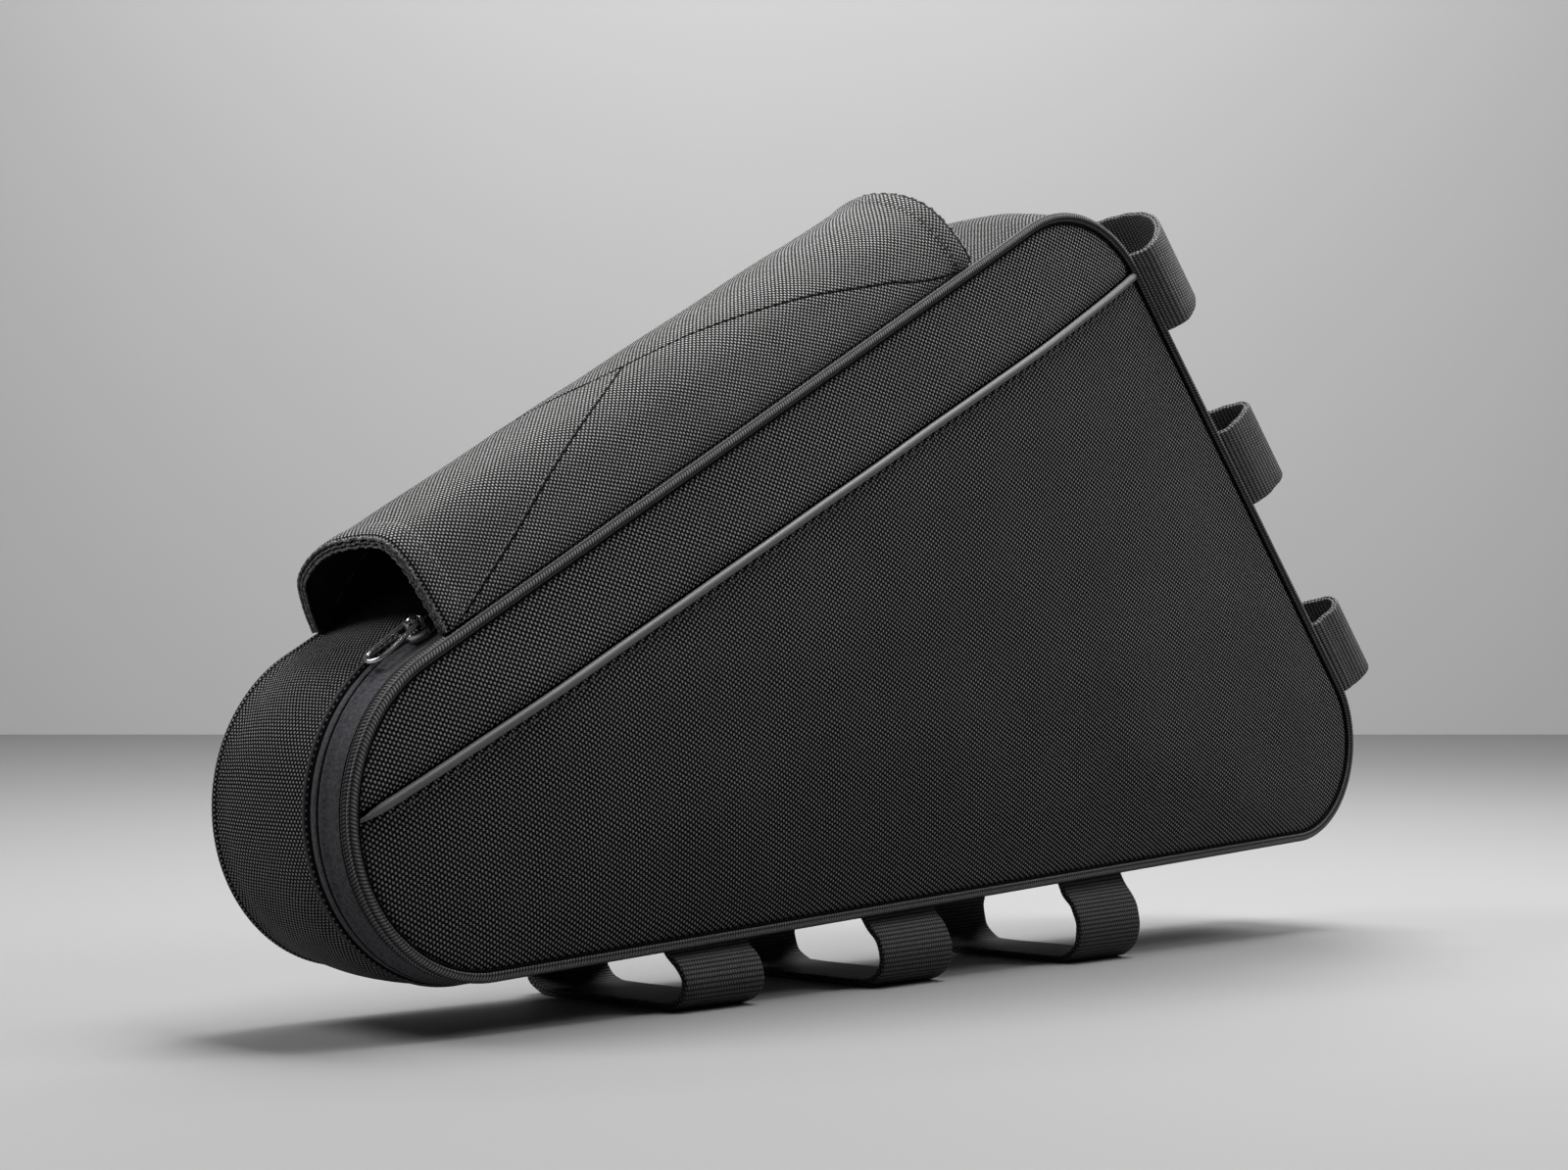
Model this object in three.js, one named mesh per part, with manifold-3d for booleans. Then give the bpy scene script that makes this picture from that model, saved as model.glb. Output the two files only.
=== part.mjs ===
// A soft bicycle frame bag that stands on its lower webbing loops, in millimetres with +Z up.
// +X runs from the rounded nose to the tail, and -Y is the side with the light piping.
import * as THREE from 'three';
import { mergeVertices } from 'three/addons/utils/BufferGeometryUtils.js';
import Module from 'manifold-3d';

const wasm = await Module();
wasm.setup();

// The side outline: a rounded triangle through the centre line of the edge piping
const topApexLength = 510.7;
const topAngle = THREE.MathUtils.degToRad(29.2);
const rearAngle = THREE.MathUtils.degToRad(-49.8);
const lowerAngle = THREE.MathUtils.degToRad(3.0);
const noseRadius = 45;
const topRadius = 43;
const tailRadius = 33;
const bagDepth = 60;
const standHeight = 24.1;

// Cloth and seams
const panelWall = 2.0;
const gussetWall = 2.4;
const gussetBulge = 3.6;
const panelCrown = 9.0;
const pipingRadius = 1.5;
const clearance = 0.3;

// The light piping across the near side
const reflectiveRadius = 1.4;
const reflectiveAngle = THREE.MathUtils.degToRad(27.7);
const reflectiveDrop = 2.0;
const reflectiveProud = 0.6;
const reflectiveEndGap = 3.5;

// The cover that goes round the top tube
const sleeveLength = 240;
const sleeveStart = 12.4;
const sleeveFrontHeight = 30.7;
const sleeveRearHeight = 28.3;
const sleeveWall = 2.4;
const sleeveFarOverhang = 1.9;
const sleeveFootLap = 0.1;

// The zip beside the near piping
const zipInset = 5.0;
const zipWidth = 10.2;
const zipTopRun = 24;
const zipLowerRun = 46;
const zipRecess = 1.3;
const tapeThickness = 0.9;
const coilInset = 11.4;
const coilWidth = 2.6;
const coilHeight = 1.3;
const coilEndInset = 3;
const sliderRun = 9.5;
const sliderLength = 9.6;
const sliderWidth = 8.0;
const sliderPlate = 1.0;
const bridgeSink = 0.5;
const bridgeWidth = 1.8;
const bridgeSpan = 6.4;
const bridgeBar = 0.9;
const pullerLength = 20;
const pullerWidth = 7.2;
const pullerNeck = 5.4;
const pullerWire = 1.5;
const pullerTilt = THREE.MathUtils.degToRad(7);

// The slider's plate from above: where its corners begin, as shares of half its length and half its width
const plateTail = { along: 0.6, across: 0.62 };
const plateNose = { along: 0.5, across: 0.9 };

// One side of the puller's wire from its hinge to its tip. Along is a share of its straight length and
// past of its round tip; its half width is made of shares of the neck's and the tip's.
const pullerPath = [
  { along: 0, past: 0, neck: 0.75, tip: 0 },
  { along: 0.04, past: 0, neck: 1, tip: 0 },
  { along: 0.45, past: 0, neck: 0.4, tip: 0.6 },
  { along: 1, past: 0, neck: 0, tip: 1 },
  { along: 1, past: 0.62, neck: 0, tip: 0.78 },
];

// The webbing loops
const strapWidth = 31;
const strapThickness = 2.2;
const strapFootInset = 3.5;
const rearLoopReach = 29.5;

// Between these shares of its reach a rear loop turns from the edge's line to a straight one
const rearTurn = { from: 0.15, to: 0.55 };

// Where each loop is centred, as a share of the straight stretch of its edge
const lowerLoops = [
  { name: 'lower_loop_1', place: 0.217 },
  { name: 'lower_loop_2', place: 0.4375 },
  { name: 'lower_loop_3', place: 0.690 },
];
const originLoop = lowerLoops[1];

// How each strap runs from its near foot to its far foot.
// deep is a share of the bag's depth from the near edge, out a share of the strap's reach.
const lowerStrapRoute = [
  { deep: 0.025, out: 0.20 },
  { deep: -0.035, out: 0.36 },
  { deep: -0.066, out: 0.58 },
  { deep: -0.045, out: 0.82 },
  { deep: 0.035, out: 0.97 },
  { deep: 0.14, out: 1 },
  { deep: 0.50, out: 1 },
  { deep: 0.86, out: 1 },
  { deep: 0.965, out: 0.97 },
  { deep: 1.045, out: 0.82 },
  { deep: 1.066, out: 0.58 },
  { deep: 1.035, out: 0.36 },
  { deep: 0.975, out: 0.20 },
];
const rearLoops = [
  {
    name: 'rear_loop_1',
    place: 0.053,
    route: [
      { deep: -0.005, out: 0.11 },
      { deep: -0.057, out: 0.19 },
      { deep: -0.073, out: 0.3 },
      { deep: -0.058, out: 0.47 },
      { deep: 0, out: 0.69 },
      { deep: 0.087, out: 0.87 },
      { deep: 0.2, out: 0.985 },
      { deep: 0.34, out: 1 },
      { deep: 0.5, out: 0.9 },
      { deep: 0.667, out: 0.705 },
      { deep: 0.8, out: 0.495 },
      { deep: 0.908, out: 0.288 },
    ],
  },
  {
    name: 'rear_loop_2',
    place: 0.467,
    route: [
      { deep: -0.005, out: 0.11 },
      { deep: -0.042, out: 0.23 },
      { deep: -0.057, out: 0.4 },
      { deep: -0.057, out: 0.54 },
      { deep: -0.035, out: 0.645 },
      { deep: 0.015, out: 0.68 },
      { deep: 0.085, out: 0.645 },
      { deep: 0.178, out: 0.553 },
      { deep: 0.3, out: 0.44 },
      { deep: 0.47, out: 0.32 },
      { deep: 0.66, out: 0.24 },
      { deep: 0.86, out: 0.178 },
    ],
  },
  {
    name: 'rear_loop_3',
    place: 0.943,
    route: [
      { deep: -0.005, out: 0.11 },
      { deep: -0.028, out: 0.22 },
      { deep: -0.055, out: 0.363 },
      { deep: -0.052, out: 0.47 },
      { deep: -0.028, out: 0.55 },
      { deep: 0.018, out: 0.6 },
      { deep: 0.08, out: 0.577 },
      { deep: 0.17, out: 0.508 },
      { deep: 0.3, out: 0.405 },
      { deep: 0.47, out: 0.31 },
      { deep: 0.66, out: 0.24 },
      { deep: 0.86, out: 0.178 },
    ],
  },
];

// The sleeve's arch at its two ends, near foot to far foot.
// deep is a share of the bag's depth, up a share of that end's height.
const sleeveArch = [
  { frontDeep: 0.050, frontUp: 0.195, rearDeep: 0.050, rearUp: 0.195 },
  { frontDeep: 0.073, frontUp: 0.425, rearDeep: 0.098, rearUp: 0.455 },
  { frontDeep: 0.102, frontUp: 0.665, rearDeep: 0.182, rearUp: 0.725 },
  { frontDeep: 0.147, frontUp: 0.848, rearDeep: 0.288, rearUp: 0.880 },
  { frontDeep: 0.213, frontUp: 0.965, rearDeep: 0.410, rearUp: 0.967 },
  { frontDeep: 0.343, frontUp: 1.000, rearDeep: 0.560, rearUp: 1.000 },
  { frontDeep: 0.532, frontUp: 0.975, rearDeep: 0.680, rearUp: 0.968 },
  { frontDeep: 0.657, frontUp: 0.930, rearDeep: 0.770, rearUp: 0.905 },
  { frontDeep: 0.783, frontUp: 0.838, rearDeep: 0.860, rearUp: 0.785 },
  { frontDeep: 0.908, frontUp: 0.694, rearDeep: 0.930, rearUp: 0.620 },
  { frontDeep: 0.980, frontUp: 0.548, rearDeep: 0.985, rearUp: 0.430 },
  { frontDeep: 1.020, frontUp: 0.296, rearDeep: 1.022, rearUp: 0.250 },
];

// The seam round the side piece let into each side of the sleeve.
// along is a share of the sleeve's length, around a share of the arch from that side's foot.
const nearSideSeam = [
  { along: 0.012, around: 0.010 },
  { along: 0.079, around: 0.093 },
  { along: 0.154, around: 0.159 },
  { along: 0.254, around: 0.250 },
  { along: 0.350, around: 0.339 },
  { along: 0.448, around: 0.433 },
  { along: 0.550, around: 0.373 },
  { along: 0.700, around: 0.248 },
  { along: 0.858, around: 0.125 },
  { along: 0.962, around: 0.010 },
];
const farSideSeam = [
  { along: 0.012, around: 0.010 },
  { along: 0.120, around: 0.165 },
  { along: 0.215, around: 0.290 },
  { along: 0.310, around: 0.415 },
  { along: 0.480, around: 0.345 },
  { along: 0.650, around: 0.250 },
  { along: 0.820, around: 0.135 },
  { along: 0.962, around: 0.010 },
];

// The seam over the ridge that joins the sleeve's front and rear pieces between the two apexes
const ridgeSeam = [
  { along: 0.30, around: -0.02 },
  { along: 0.448, around: 0.433 },
  { along: 0.400, around: 0.466 },
  { along: 0.358, around: 0.527 },
  { along: 0.310, around: 0.585 },
  { along: 0.30, around: 1.02 },
];

// How far the crown has risen at rings between the rim, at share 1, and the middle
const crownRings = [1, 0.95, 0.86, 0.7, 0.5, 0.26];
const crownPower = 2.6;

// Facets
const arcStep = THREE.MathUtils.degToRad(11);
const lineStep = 46;
const bulgeSteps = 5;
const pipingSides = 8;
const strapSteps = 26;
const sleeveSteps = 4;
const archSteps = 22;
const wireSides = 8;
const wireSteps = 28;
const slabSteps = 9;
const reflectiveSteps = 16;
const plateCurveSteps = 3;
const leastStep = 1;
const weldDistance = 1e-4;

// How far a cutting body reaches past what it cuts: off a face, and past an end as a share
const cutterReach = 2;
const cutterShare = 0.03;

function direction(angle) {
  return new THREE.Vector2(Math.cos(angle), Math.sin(angle));
}

function lerp(a, b, t) {
  return a + (b - a) * t;
}

// The three apexes of the outline before rounding, from the loop that stands at x = 0
function makeOutline() {
  const interior = {
    nose: topAngle - lowerAngle,
    top: Math.PI - topAngle + rearAngle,
    tail: lowerAngle - rearAngle,
  };
  const rearLength = topApexLength * Math.sin(interior.nose) / Math.sin(interior.tail);
  const lowerLength = topApexLength * Math.sin(interior.top) / Math.sin(interior.tail);
  const cut = {
    nose: noseRadius / Math.tan(interior.nose / 2),
    top: topRadius / Math.tan(interior.top / 2),
    tail: tailRadius / Math.tan(interior.tail / 2),
  };
  const lowerStraight = lowerLength - cut.nose - cut.tail;
  const along = direction(lowerAngle);
  const originRun = cut.nose + originLoop.place * lowerStraight;
  const nose = new THREE.Vector2(0, standHeight).addScaledVector(along, -originRun);
  nose.y = standHeight - originRun * along.y;
  const top = nose.clone().addScaledVector(direction(topAngle), topApexLength);
  const tail = nose.clone().addScaledVector(along, lowerLength);
  const edges = {
    top: { start: nose, heading: topAngle, from: cut.nose, to: topApexLength - cut.top },
    rear: { start: top, heading: rearAngle, from: cut.top, to: rearLength - cut.tail },
    lower: { start: tail, heading: lowerAngle + Math.PI, from: cut.tail, to: lowerLength - cut.nose },
  };
  // Walking nose, top, tail keeps the bag on the right, so outward is to the left
  const pieces = [];
  const corners = [
    { edge: edges.top, radius: topRadius, next: edges.rear },
    { edge: edges.rear, radius: tailRadius, next: edges.lower },
    { edge: edges.lower, radius: noseRadius, next: edges.top },
  ];
  let run = 0;
  for (const { edge, radius, next } of corners) {
    const heading = direction(edge.heading);
    const length = edge.to - edge.from;
    const begin = edge.start.clone().addScaledVector(heading, edge.from);
    pieces.push({ run, length, begin, heading: edge.heading, turn: 0 });
    edge.run = run;
    edge.length = length;
    run += length;
    const end = edge.start.clone().addScaledVector(heading, edge.to);
    let turn = next.heading - edge.heading;
    while (turn > 0) turn -= 2 * Math.PI;
    while (turn < -Math.PI) turn += 2 * Math.PI;
    const arcLength = radius * Math.abs(turn);
    pieces.push({ run, length: arcLength, begin: end, heading: edge.heading, turn, radius });
    run += arcLength;
  }
  return { pieces, edges, total: run };
}

const outline = makeOutline();

// A point of the outline at a run along it, with its outward normal
function outlineAt(run) {
  const wrapped = ((run % outline.total) + outline.total) % outline.total;
  const piece = outline.pieces.find((p) => wrapped <= p.run + p.length + 1e-9) ?? outline.pieces[0];
  const along = wrapped - piece.run;
  if (piece.turn === 0) {
    const point = piece.begin.clone().addScaledVector(direction(piece.heading), along);
    return { point, normal: direction(piece.heading + Math.PI / 2) };
  }
  const centre = piece.begin.clone().addScaledVector(direction(piece.heading - Math.PI / 2), piece.radius);
  const angle = piece.heading + Math.PI / 2 + piece.turn * along / piece.length;
  const normal = direction(angle);
  return { point: centre.addScaledVector(normal, piece.radius), normal };
}

// The runs at which a stretch of the outline is sampled: every joint of line and arc, and steps between
function outlineRuns(from, to) {
  const marks = [from];
  for (let turnNumber = -1; turnNumber <= 1; turnNumber += 1) {
    for (const piece of outline.pieces) {
      const size = piece.turn === 0 ? piece.length / lineStep : Math.abs(piece.turn) / arcStep;
      const count = Math.max(1, Math.round(size));
      for (let i = 0; i < count; i += 1) {
        const mark = turnNumber * outline.total + piece.run + piece.length * i / count;
        if (mark > from + leastStep && mark < to - leastStep) marks.push(mark);
      }
    }
  }
  marks.push(to);
  return marks;
}

// How far the gusset stands out at a depth from the near edge
function bulgeAt(deep) {
  const side = 2 * deep / bagDepth - 1;
  return gussetBulge * (1 - side * side);
}

// A place on the bag's edge: run along the outline, deep from the near edge, out from the piping line
function edgePlace(run, deep, out) {
  const { point, normal } = outlineAt(run);
  return new THREE.Vector3(point.x + normal.x * out, deep - bagDepth / 2, point.y + normal.y * out);
}

function geometryOf(points, faces) {
  const geometry = new THREE.BufferGeometry();
  geometry.setAttribute('position', new THREE.Float32BufferAttribute(points.flatMap((p) => [p.x, p.y, p.z]), 3));
  geometry.setIndex(faces);
  return geometry;
}

// Signed volume, to turn a body whose faces point in
function volumeOf(points, faces) {
  let volume = 0;
  for (let i = 0; i < faces.length; i += 3) {
    const [a, b, c] = [points[faces[i]], points[faces[i + 1]], points[faces[i + 2]]];
    volume += a.dot(b.clone().cross(c)) / 6;
  }
  return volume;
}

function outwardGeometry(points, faces) {
  if (volumeOf(points, faces) < 0) {
    for (let i = 0; i < faces.length; i += 3) {
      [faces[i], faces[i + 1]] = [faces[i + 1], faces[i]];
    }
  }
  return geometryOf(points, faces);
}

// The skin through sections that are closed loops of points; the sections may run in a ring
function sweep(sections, ring) {
  const points = sections.flat();
  const sides = sections[0].length;
  const faces = [];
  const last = ring ? sections.length : sections.length - 1;
  for (let i = 0; i < last; i += 1) {
    const here = i * sides;
    const there = ((i + 1) % sections.length) * sides;
    for (let j = 0; j < sides; j += 1) {
      const next = (j + 1) % sides;
      faces.push(here + j, there + j, there + next);
      faces.push(here + j, there + next, here + next);
    }
  }
  return { points, faces, sides };
}

// A sheet between an outer and an inner grid of points. Rows may join into a ring.
function sheet(outer, inner, ring) {
  const rows = outer.length;
  const columns = outer[0].length;
  const points = [...outer.flat(), ...inner.flat()];
  const faces = [];
  const at = (side, i, j) => side * rows * columns + (i % rows) * columns + j;
  const quad = (a, b, c, d) => faces.push(a, b, c, a, c, d);
  const last = ring ? rows : rows - 1;
  for (let i = 0; i < last; i += 1) {
    for (let j = 0; j < columns - 1; j += 1) {
      quad(at(0, i, j), at(0, i, j + 1), at(0, i + 1, j + 1), at(0, i + 1, j));
      quad(at(1, i, j), at(1, i + 1, j), at(1, i + 1, j + 1), at(1, i, j + 1));
    }
    quad(at(0, i, 0), at(0, i + 1, 0), at(1, i + 1, 0), at(1, i, 0));
    quad(at(0, i, columns - 1), at(1, i, columns - 1), at(1, i + 1, columns - 1), at(0, i + 1, columns - 1));
  }
  if (!ring) {
    for (let j = 0; j < columns - 1; j += 1) {
      quad(at(0, 0, j), at(1, 0, j), at(1, 0, j + 1), at(0, 0, j + 1));
      quad(at(0, rows - 1, j), at(0, rows - 1, j + 1), at(1, rows - 1, j + 1), at(1, rows - 1, j));
    }
  }
  return outwardGeometry(points, faces);
}

// A ring of closed sections, such as a cord with no ends
function ringBody(sections) {
  const { points, faces } = sweep(sections, true);
  return outwardGeometry(points, faces);
}

// A body of closed sections with flat ends, each end a fan round its middle
function openBody(sections) {
  const { points, faces, sides } = sweep(sections, false);
  const middleOf = (section) => section.reduce((sum, p) => sum.add(p), new THREE.Vector3()).divideScalar(sides);
  const all = [...points, middleOf(sections[0]), middleOf(sections.at(-1))];
  const end = points.length - sides;
  for (let j = 0; j < sides; j += 1) {
    const next = (j + 1) % sides;
    faces.push(j, next, points.length);
    faces.push(end + next, end + j, points.length + 1);
  }
  return outwardGeometry(all, faces);
}

function solidOf(geometry) {
  const plain = geometry.clone();
  plain.deleteAttribute('normal');
  plain.deleteAttribute('uv');
  const merged = mergeVertices(plain, weldDistance);
  const vertProperties = new Float32Array(merged.attributes.position.array);
  const triVerts = new Uint32Array(merged.index.array);
  return new wasm.Manifold(new wasm.Mesh({ numProp: 3, vertProperties, triVerts }));
}

function geometryFrom(solid) {
  const mesh = solid.getMesh();
  const geometry = new THREE.BufferGeometry();
  geometry.setAttribute('position', new THREE.BufferAttribute(new Float32Array(mesh.vertProperties), 3));
  geometry.setIndex(new THREE.BufferAttribute(new Uint32Array(mesh.triVerts), 1));
  return geometry;
}

// The main body of a cut solid, without the specks a cut can leave
function mainBody(solid) {
  return solid.decompose().reduce((best, body) => (body.volume() > best.volume() ? body : best));
}

function boxSolid(size, centre) {
  const box = new THREE.BoxGeometry(size.x, size.y, size.z);
  box.translate(centre.x, centre.y, centre.z);
  return solidOf(box);
}

// The band of the outline between two runs and two depths, between two heights off the gusset's surface
function edgeBand(runs, deeps, low, high, ring = false) {
  const layer = (height) => runs.map((run) => deeps.map((deep) => edgePlace(run, deep, bulgeAt(deep) + height)));
  return sheet(layer(high), layer(low), ring);
}

function spread(from, to, count) {
  return Array.from({ length: count + 1 }, (_, i) => lerp(from, to, i / count));
}

const rimDepth = panelWall + clearance;
const zipFrom = outline.total - noseRunLength() - zipLowerRun;
const zipTo = outline.total + zipTopRun;

function noseRunLength() {
  return noseRadius * Math.abs(outline.pieces[5].turn);
}

function makeGusset() {
  const runs = outlineRuns(0, outline.total).slice(0, -1);
  const deeps = spread(rimDepth, bagDepth - rimDepth, bulgeSteps);
  const band = solidOf(edgeBand(runs, deeps, -gussetWall, 0, true));
  const zipDeeps = spread(zipInset, zipInset + zipWidth, 1);
  const recess = solidOf(edgeBand(outlineRuns(zipFrom, zipTo), zipDeeps, -zipRecess, cutterReach));
  return geometryFrom(band.subtract(recess));
}

function makeTape(fromDeep, toDeep) {
  const runs = outlineRuns(zipFrom + clearance, zipTo - clearance);
  const low = -zipRecess + clearance;
  return edgeBand(runs, [fromDeep, toDeep], low, low + tapeThickness);
}

const tapeTop = tapeThickness + clearance - zipRecess;

function makeCoil() {
  const runs = outlineRuns(zipFrom + coilEndInset, zipTo - coilEndInset);
  const half = coilWidth / 2;
  const deeps = [-1, -0.55, 0.55, 1].map((side) => coilInset + side * half);
  const heights = [0.5, 1, 1, 0.5];
  const low = tapeTop + clearance;
  const layer = (height) => runs.map((run) => deeps.map((deep, j) => (
    edgePlace(run, deep, bulgeAt(deep) + low + height(j)))));
  return sheet(layer((j) => coilHeight * heights[j]), layer(() => 0), false);
}

function makePiping(deep) {
  const runs = outlineRuns(0, outline.total).slice(0, -1);
  return ringBody(runs.map((run) => spread(0, 2 * Math.PI, pipingSides).slice(0, -1).map((angle) => (
    edgePlace(run, deep + pipingRadius * Math.sin(angle), pipingRadius * Math.cos(angle))))));
}

// The middle that the crown's rings shrink towards
function outlineCentre() {
  const [a, b, c] = [outline.edges.top.start, outline.edges.rear.start, outline.edges.lower.start];
  return new THREE.Vector2(a.x + b.x + c.x, a.y + b.y + c.y).divideScalar(3);
}

function crownAt(ring) {
  return panelCrown * (1 - ring ** crownPower);
}

// A crowned side panel; side is -1 near and 1 far
function makePanel(side) {
  const runs = outlineRuns(0, outline.total).slice(0, -1);
  const centre = outlineCentre();
  const rim = runs.map((run) => edgePlace(run, 0, -pipingRadius - clearance));
  const points = [];
  const layerAt = (inset) => {
    const first = points.length;
    for (const ring of crownRings) {
      for (const p of rim) {
        const y = side * (bagDepth / 2 + crownAt(ring) - inset);
        points.push(new THREE.Vector3(lerp(centre.x, p.x, ring), y, lerp(centre.y, p.z, ring)));
      }
    }
    points.push(new THREE.Vector3(centre.x, side * (bagDepth / 2 + crownAt(0) - inset), centre.y));
    return first;
  };
  const layers = [layerAt(0), layerAt(panelWall)];
  const faces = [];
  const count = rim.length;
  layers.forEach((first, turned) => {
    const add = (a, b, c) => (turned ? faces.push(a, c, b) : faces.push(a, b, c));
    for (let r = 0; r < crownRings.length; r += 1) {
      for (let i = 0; i < count; i += 1) {
        const next = (i + 1) % count;
        const here = first + r * count;
        if (r === crownRings.length - 1) {
          add(here + i, here + next, first + crownRings.length * count);
        } else {
          add(here + i, here + next, here + count + next);
          add(here + i, here + count + next, here + count + i);
        }
      }
    }
  });
  for (let i = 0; i < count; i += 1) {
    const next = (i + 1) % count;
    faces.push(layers[0] + next, layers[0] + i, layers[1] + i);
    faces.push(layers[0] + next, layers[1] + i, layers[1] + next);
  }
  return outwardGeometry(points, faces);
}

// Where the light piping crosses the near side: its first point, at the nose, and its heading
function reflectiveLine() {
  const arc = outline.pieces[5];
  const centre = arc.begin.clone().addScaledVector(direction(arc.heading - Math.PI / 2), arc.radius);
  const start = new THREE.Vector2(centre.x - noseRadius + pipingRadius + clearance, centre.y - reflectiveDrop);
  return { start, heading: direction(reflectiveAngle) };
}

// Half of the near side, cut clear of the light piping; part is 1 above it and -1 below
function makeNearPanel(part) {
  const panel = solidOf(makePanel(-1));
  const { start, heading } = reflectiveLine();
  const reach = topApexLength;
  const gap = reflectiveRadius + clearance;
  const cutter = new THREE.BoxGeometry(2 * reach, bagDepth, 2 * reach);
  cutter.translate(0, -bagDepth / 2, -part * reach + part * gap);
  cutter.rotateY(-reflectiveAngle);
  cutter.translate(start.x, 0, start.y);
  return geometryFrom(panel.subtract(solidOf(cutter)));
}

// The depth of the crowned near side under a point of the outline's plane
function crownUnder(point) {
  const centre = outlineCentre();
  const ray = point.clone().sub(centre);
  const runs = outlineRuns(0, outline.total);
  let ring = 0;
  for (let i = 0; i < runs.length - 1; i += 1) {
    const a = edgePlace(runs[i], 0, -pipingRadius - clearance);
    const b = edgePlace(runs[i + 1], 0, -pipingRadius - clearance);
    const edge = new THREE.Vector2(b.x - a.x, b.z - a.z);
    const toA = new THREE.Vector2(a.x - centre.x, a.z - centre.y);
    const cross = edge.x * ray.y - edge.y * ray.x;
    const share = (edge.x * toA.y - edge.y * toA.x) / cross;
    const along = (ray.x * toA.y - ray.y * toA.x) / cross;
    if (share > 0 && along >= -1e-6 && along <= 1 + 1e-6) ring = Math.max(ring, 1 / share);
  }
  return crownAt(Math.min(1, ring));
}

function makeReflectivePiping() {
  const { start, heading } = reflectiveLine();
  const rear = outline.edges.rear;
  const rearHeading = direction(rear.heading);
  const away = rear.start.clone().sub(start);
  const cross = heading.x * rearHeading.y - heading.y * rearHeading.x;
  const length = (away.x * rearHeading.y - away.y * rearHeading.x) / cross;
  const up = new THREE.Vector3(-heading.y, 0, heading.x);
  const rounds = spread(0, 2 * Math.PI, wireSides).slice(0, -1);
  const sections = spread(reflectiveRadius, length - reflectiveEndGap, reflectiveSteps).map((run) => {
    const point = start.clone().addScaledVector(heading, run);
    const y = -bagDepth / 2 - crownUnder(point) - reflectiveProud;
    return rounds.map((angle) => new THREE.Vector3(point.x, y, point.y)
      .addScaledVector(up, reflectiveRadius * Math.cos(angle))
      .add(new THREE.Vector3(0, reflectiveRadius * Math.sin(angle), 0)));
  });
  return openBody(sections);
}

// A smooth curve through a few points of the plane across the bag's edge
function smoothRoute(points) {
  return new THREE.SplineCurve(points.map((p) => new THREE.Vector2(p.deep, p.out)));
}

// How far out the gusset and the two pipings reach at a depth, with the clearance that rests on them
function seatAt(deep) {
  const seats = [0, bagDepth].map((middle) => {
    const away = Math.abs(deep - middle);
    const radius = pipingRadius + clearance;
    return away < radius ? Math.sqrt(radius * radius - away * away) : 0;
  });
  if (deep > 0 && deep < bagDepth) seats.push(bulgeAt(deep) + clearance);
  return Math.max(...seats);
}

// Points on both faces of a strap or cover that follows a route and rests on the bag's edge
function routeFaces(curve, shares, near, far) {
  return shares.map((t) => {
    const point = curve.getPoint(t);
    const tangent = curve.getTangent(t);
    const normal = new THREE.Vector2(-tangent.y, tangent.x);
    const outer = point.clone().addScaledVector(normal, near);
    const inner = point.clone().addScaledVector(normal, far);
    const lift = Math.max(0, seatAt(outer.x) - outer.y, seatAt(inner.x) - inner.y);
    outer.y += lift;
    inner.y += lift;
    return { outer, inner };
  });
}

const strapFootOut = bulgeAt(strapFootInset + strapThickness / 2) + clearance;

function strapRoute(route, reach) {
  const feet = { near: { deep: strapFootInset, out: strapFootOut } };
  feet.far = { deep: bagDepth - strapFootInset, out: strapFootOut };
  const middle = route.map((p) => ({ deep: p.deep * bagDepth, out: p.out * reach }));
  return smoothRoute([feet.near, ...middle, feet.far]);
}

function strapFaces(curve) {
  return routeFaces(curve, spread(0, 1, strapSteps), strapThickness / 2, -strapThickness / 2);
}

// A strap has a column of points wherever the outline under it has one, so its feet follow the gusset
function makeStrap(edge, place, columnAt) {
  const middle = edge.run + place * edge.length;
  const columns = outlineRuns(middle - strapWidth / 2, middle + strapWidth / 2).map(columnAt);
  const outer = columns.map((column) => column.map((p) => p.outer));
  const inner = columns.map((column) => column.map((p) => p.inner));
  return sheet(outer, inner, false);
}

// A lower loop reaches the floor all along its flat run, whatever the slope of the edge above it
function makeLowerLoop(place) {
  const edge = outline.edges.lower;
  return makeStrap(edge, 1 - place, (run) => {
    const { point, normal } = outlineAt(run);
    const reach = point.y / -normal.y - strapThickness / 2;
    const put = (p, most) => {
      const out = Math.min(p.y, most);
      return new THREE.Vector3(point.x + normal.x * out, p.x - bagDepth / 2, point.y + normal.y * out);
    };
    return strapFaces(strapRoute(lowerStrapRoute, reach)).map(({ outer, inner }) => ({
      outer: put(outer, reach + strapThickness / 2),
      inner: put(inner, reach - strapThickness / 2),
    }));
  });
}

// A rear loop's feet follow the edge, also where it begins to turn; its tip stays straight
function makeRearLoop(place, route) {
  const edge = outline.edges.rear;
  const middleRun = edge.run + edge.length / 2;
  const begin = outlineAt(middleRun);
  const heading = direction(edge.heading);
  const curve = strapRoute(route, rearLoopReach);
  return makeStrap(edge, place, (run) => {
    const foot = outlineAt(run).point;
    const straight = begin.point.clone().addScaledVector(heading, run - middleRun);
    const put = (p) => {
      const share = THREE.MathUtils.smoothstep(p.y / rearLoopReach, rearTurn.from, rearTurn.to);
      const base = foot.clone().lerp(straight, share);
      return new THREE.Vector3(
        base.x + begin.normal.x * p.y, p.x - bagDepth / 2, base.y + begin.normal.y * p.y);
    };
    return strapFaces(curve).map(({ outer, inner }) => ({ outer: put(outer), inner: put(inner) }));
  });
}

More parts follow.
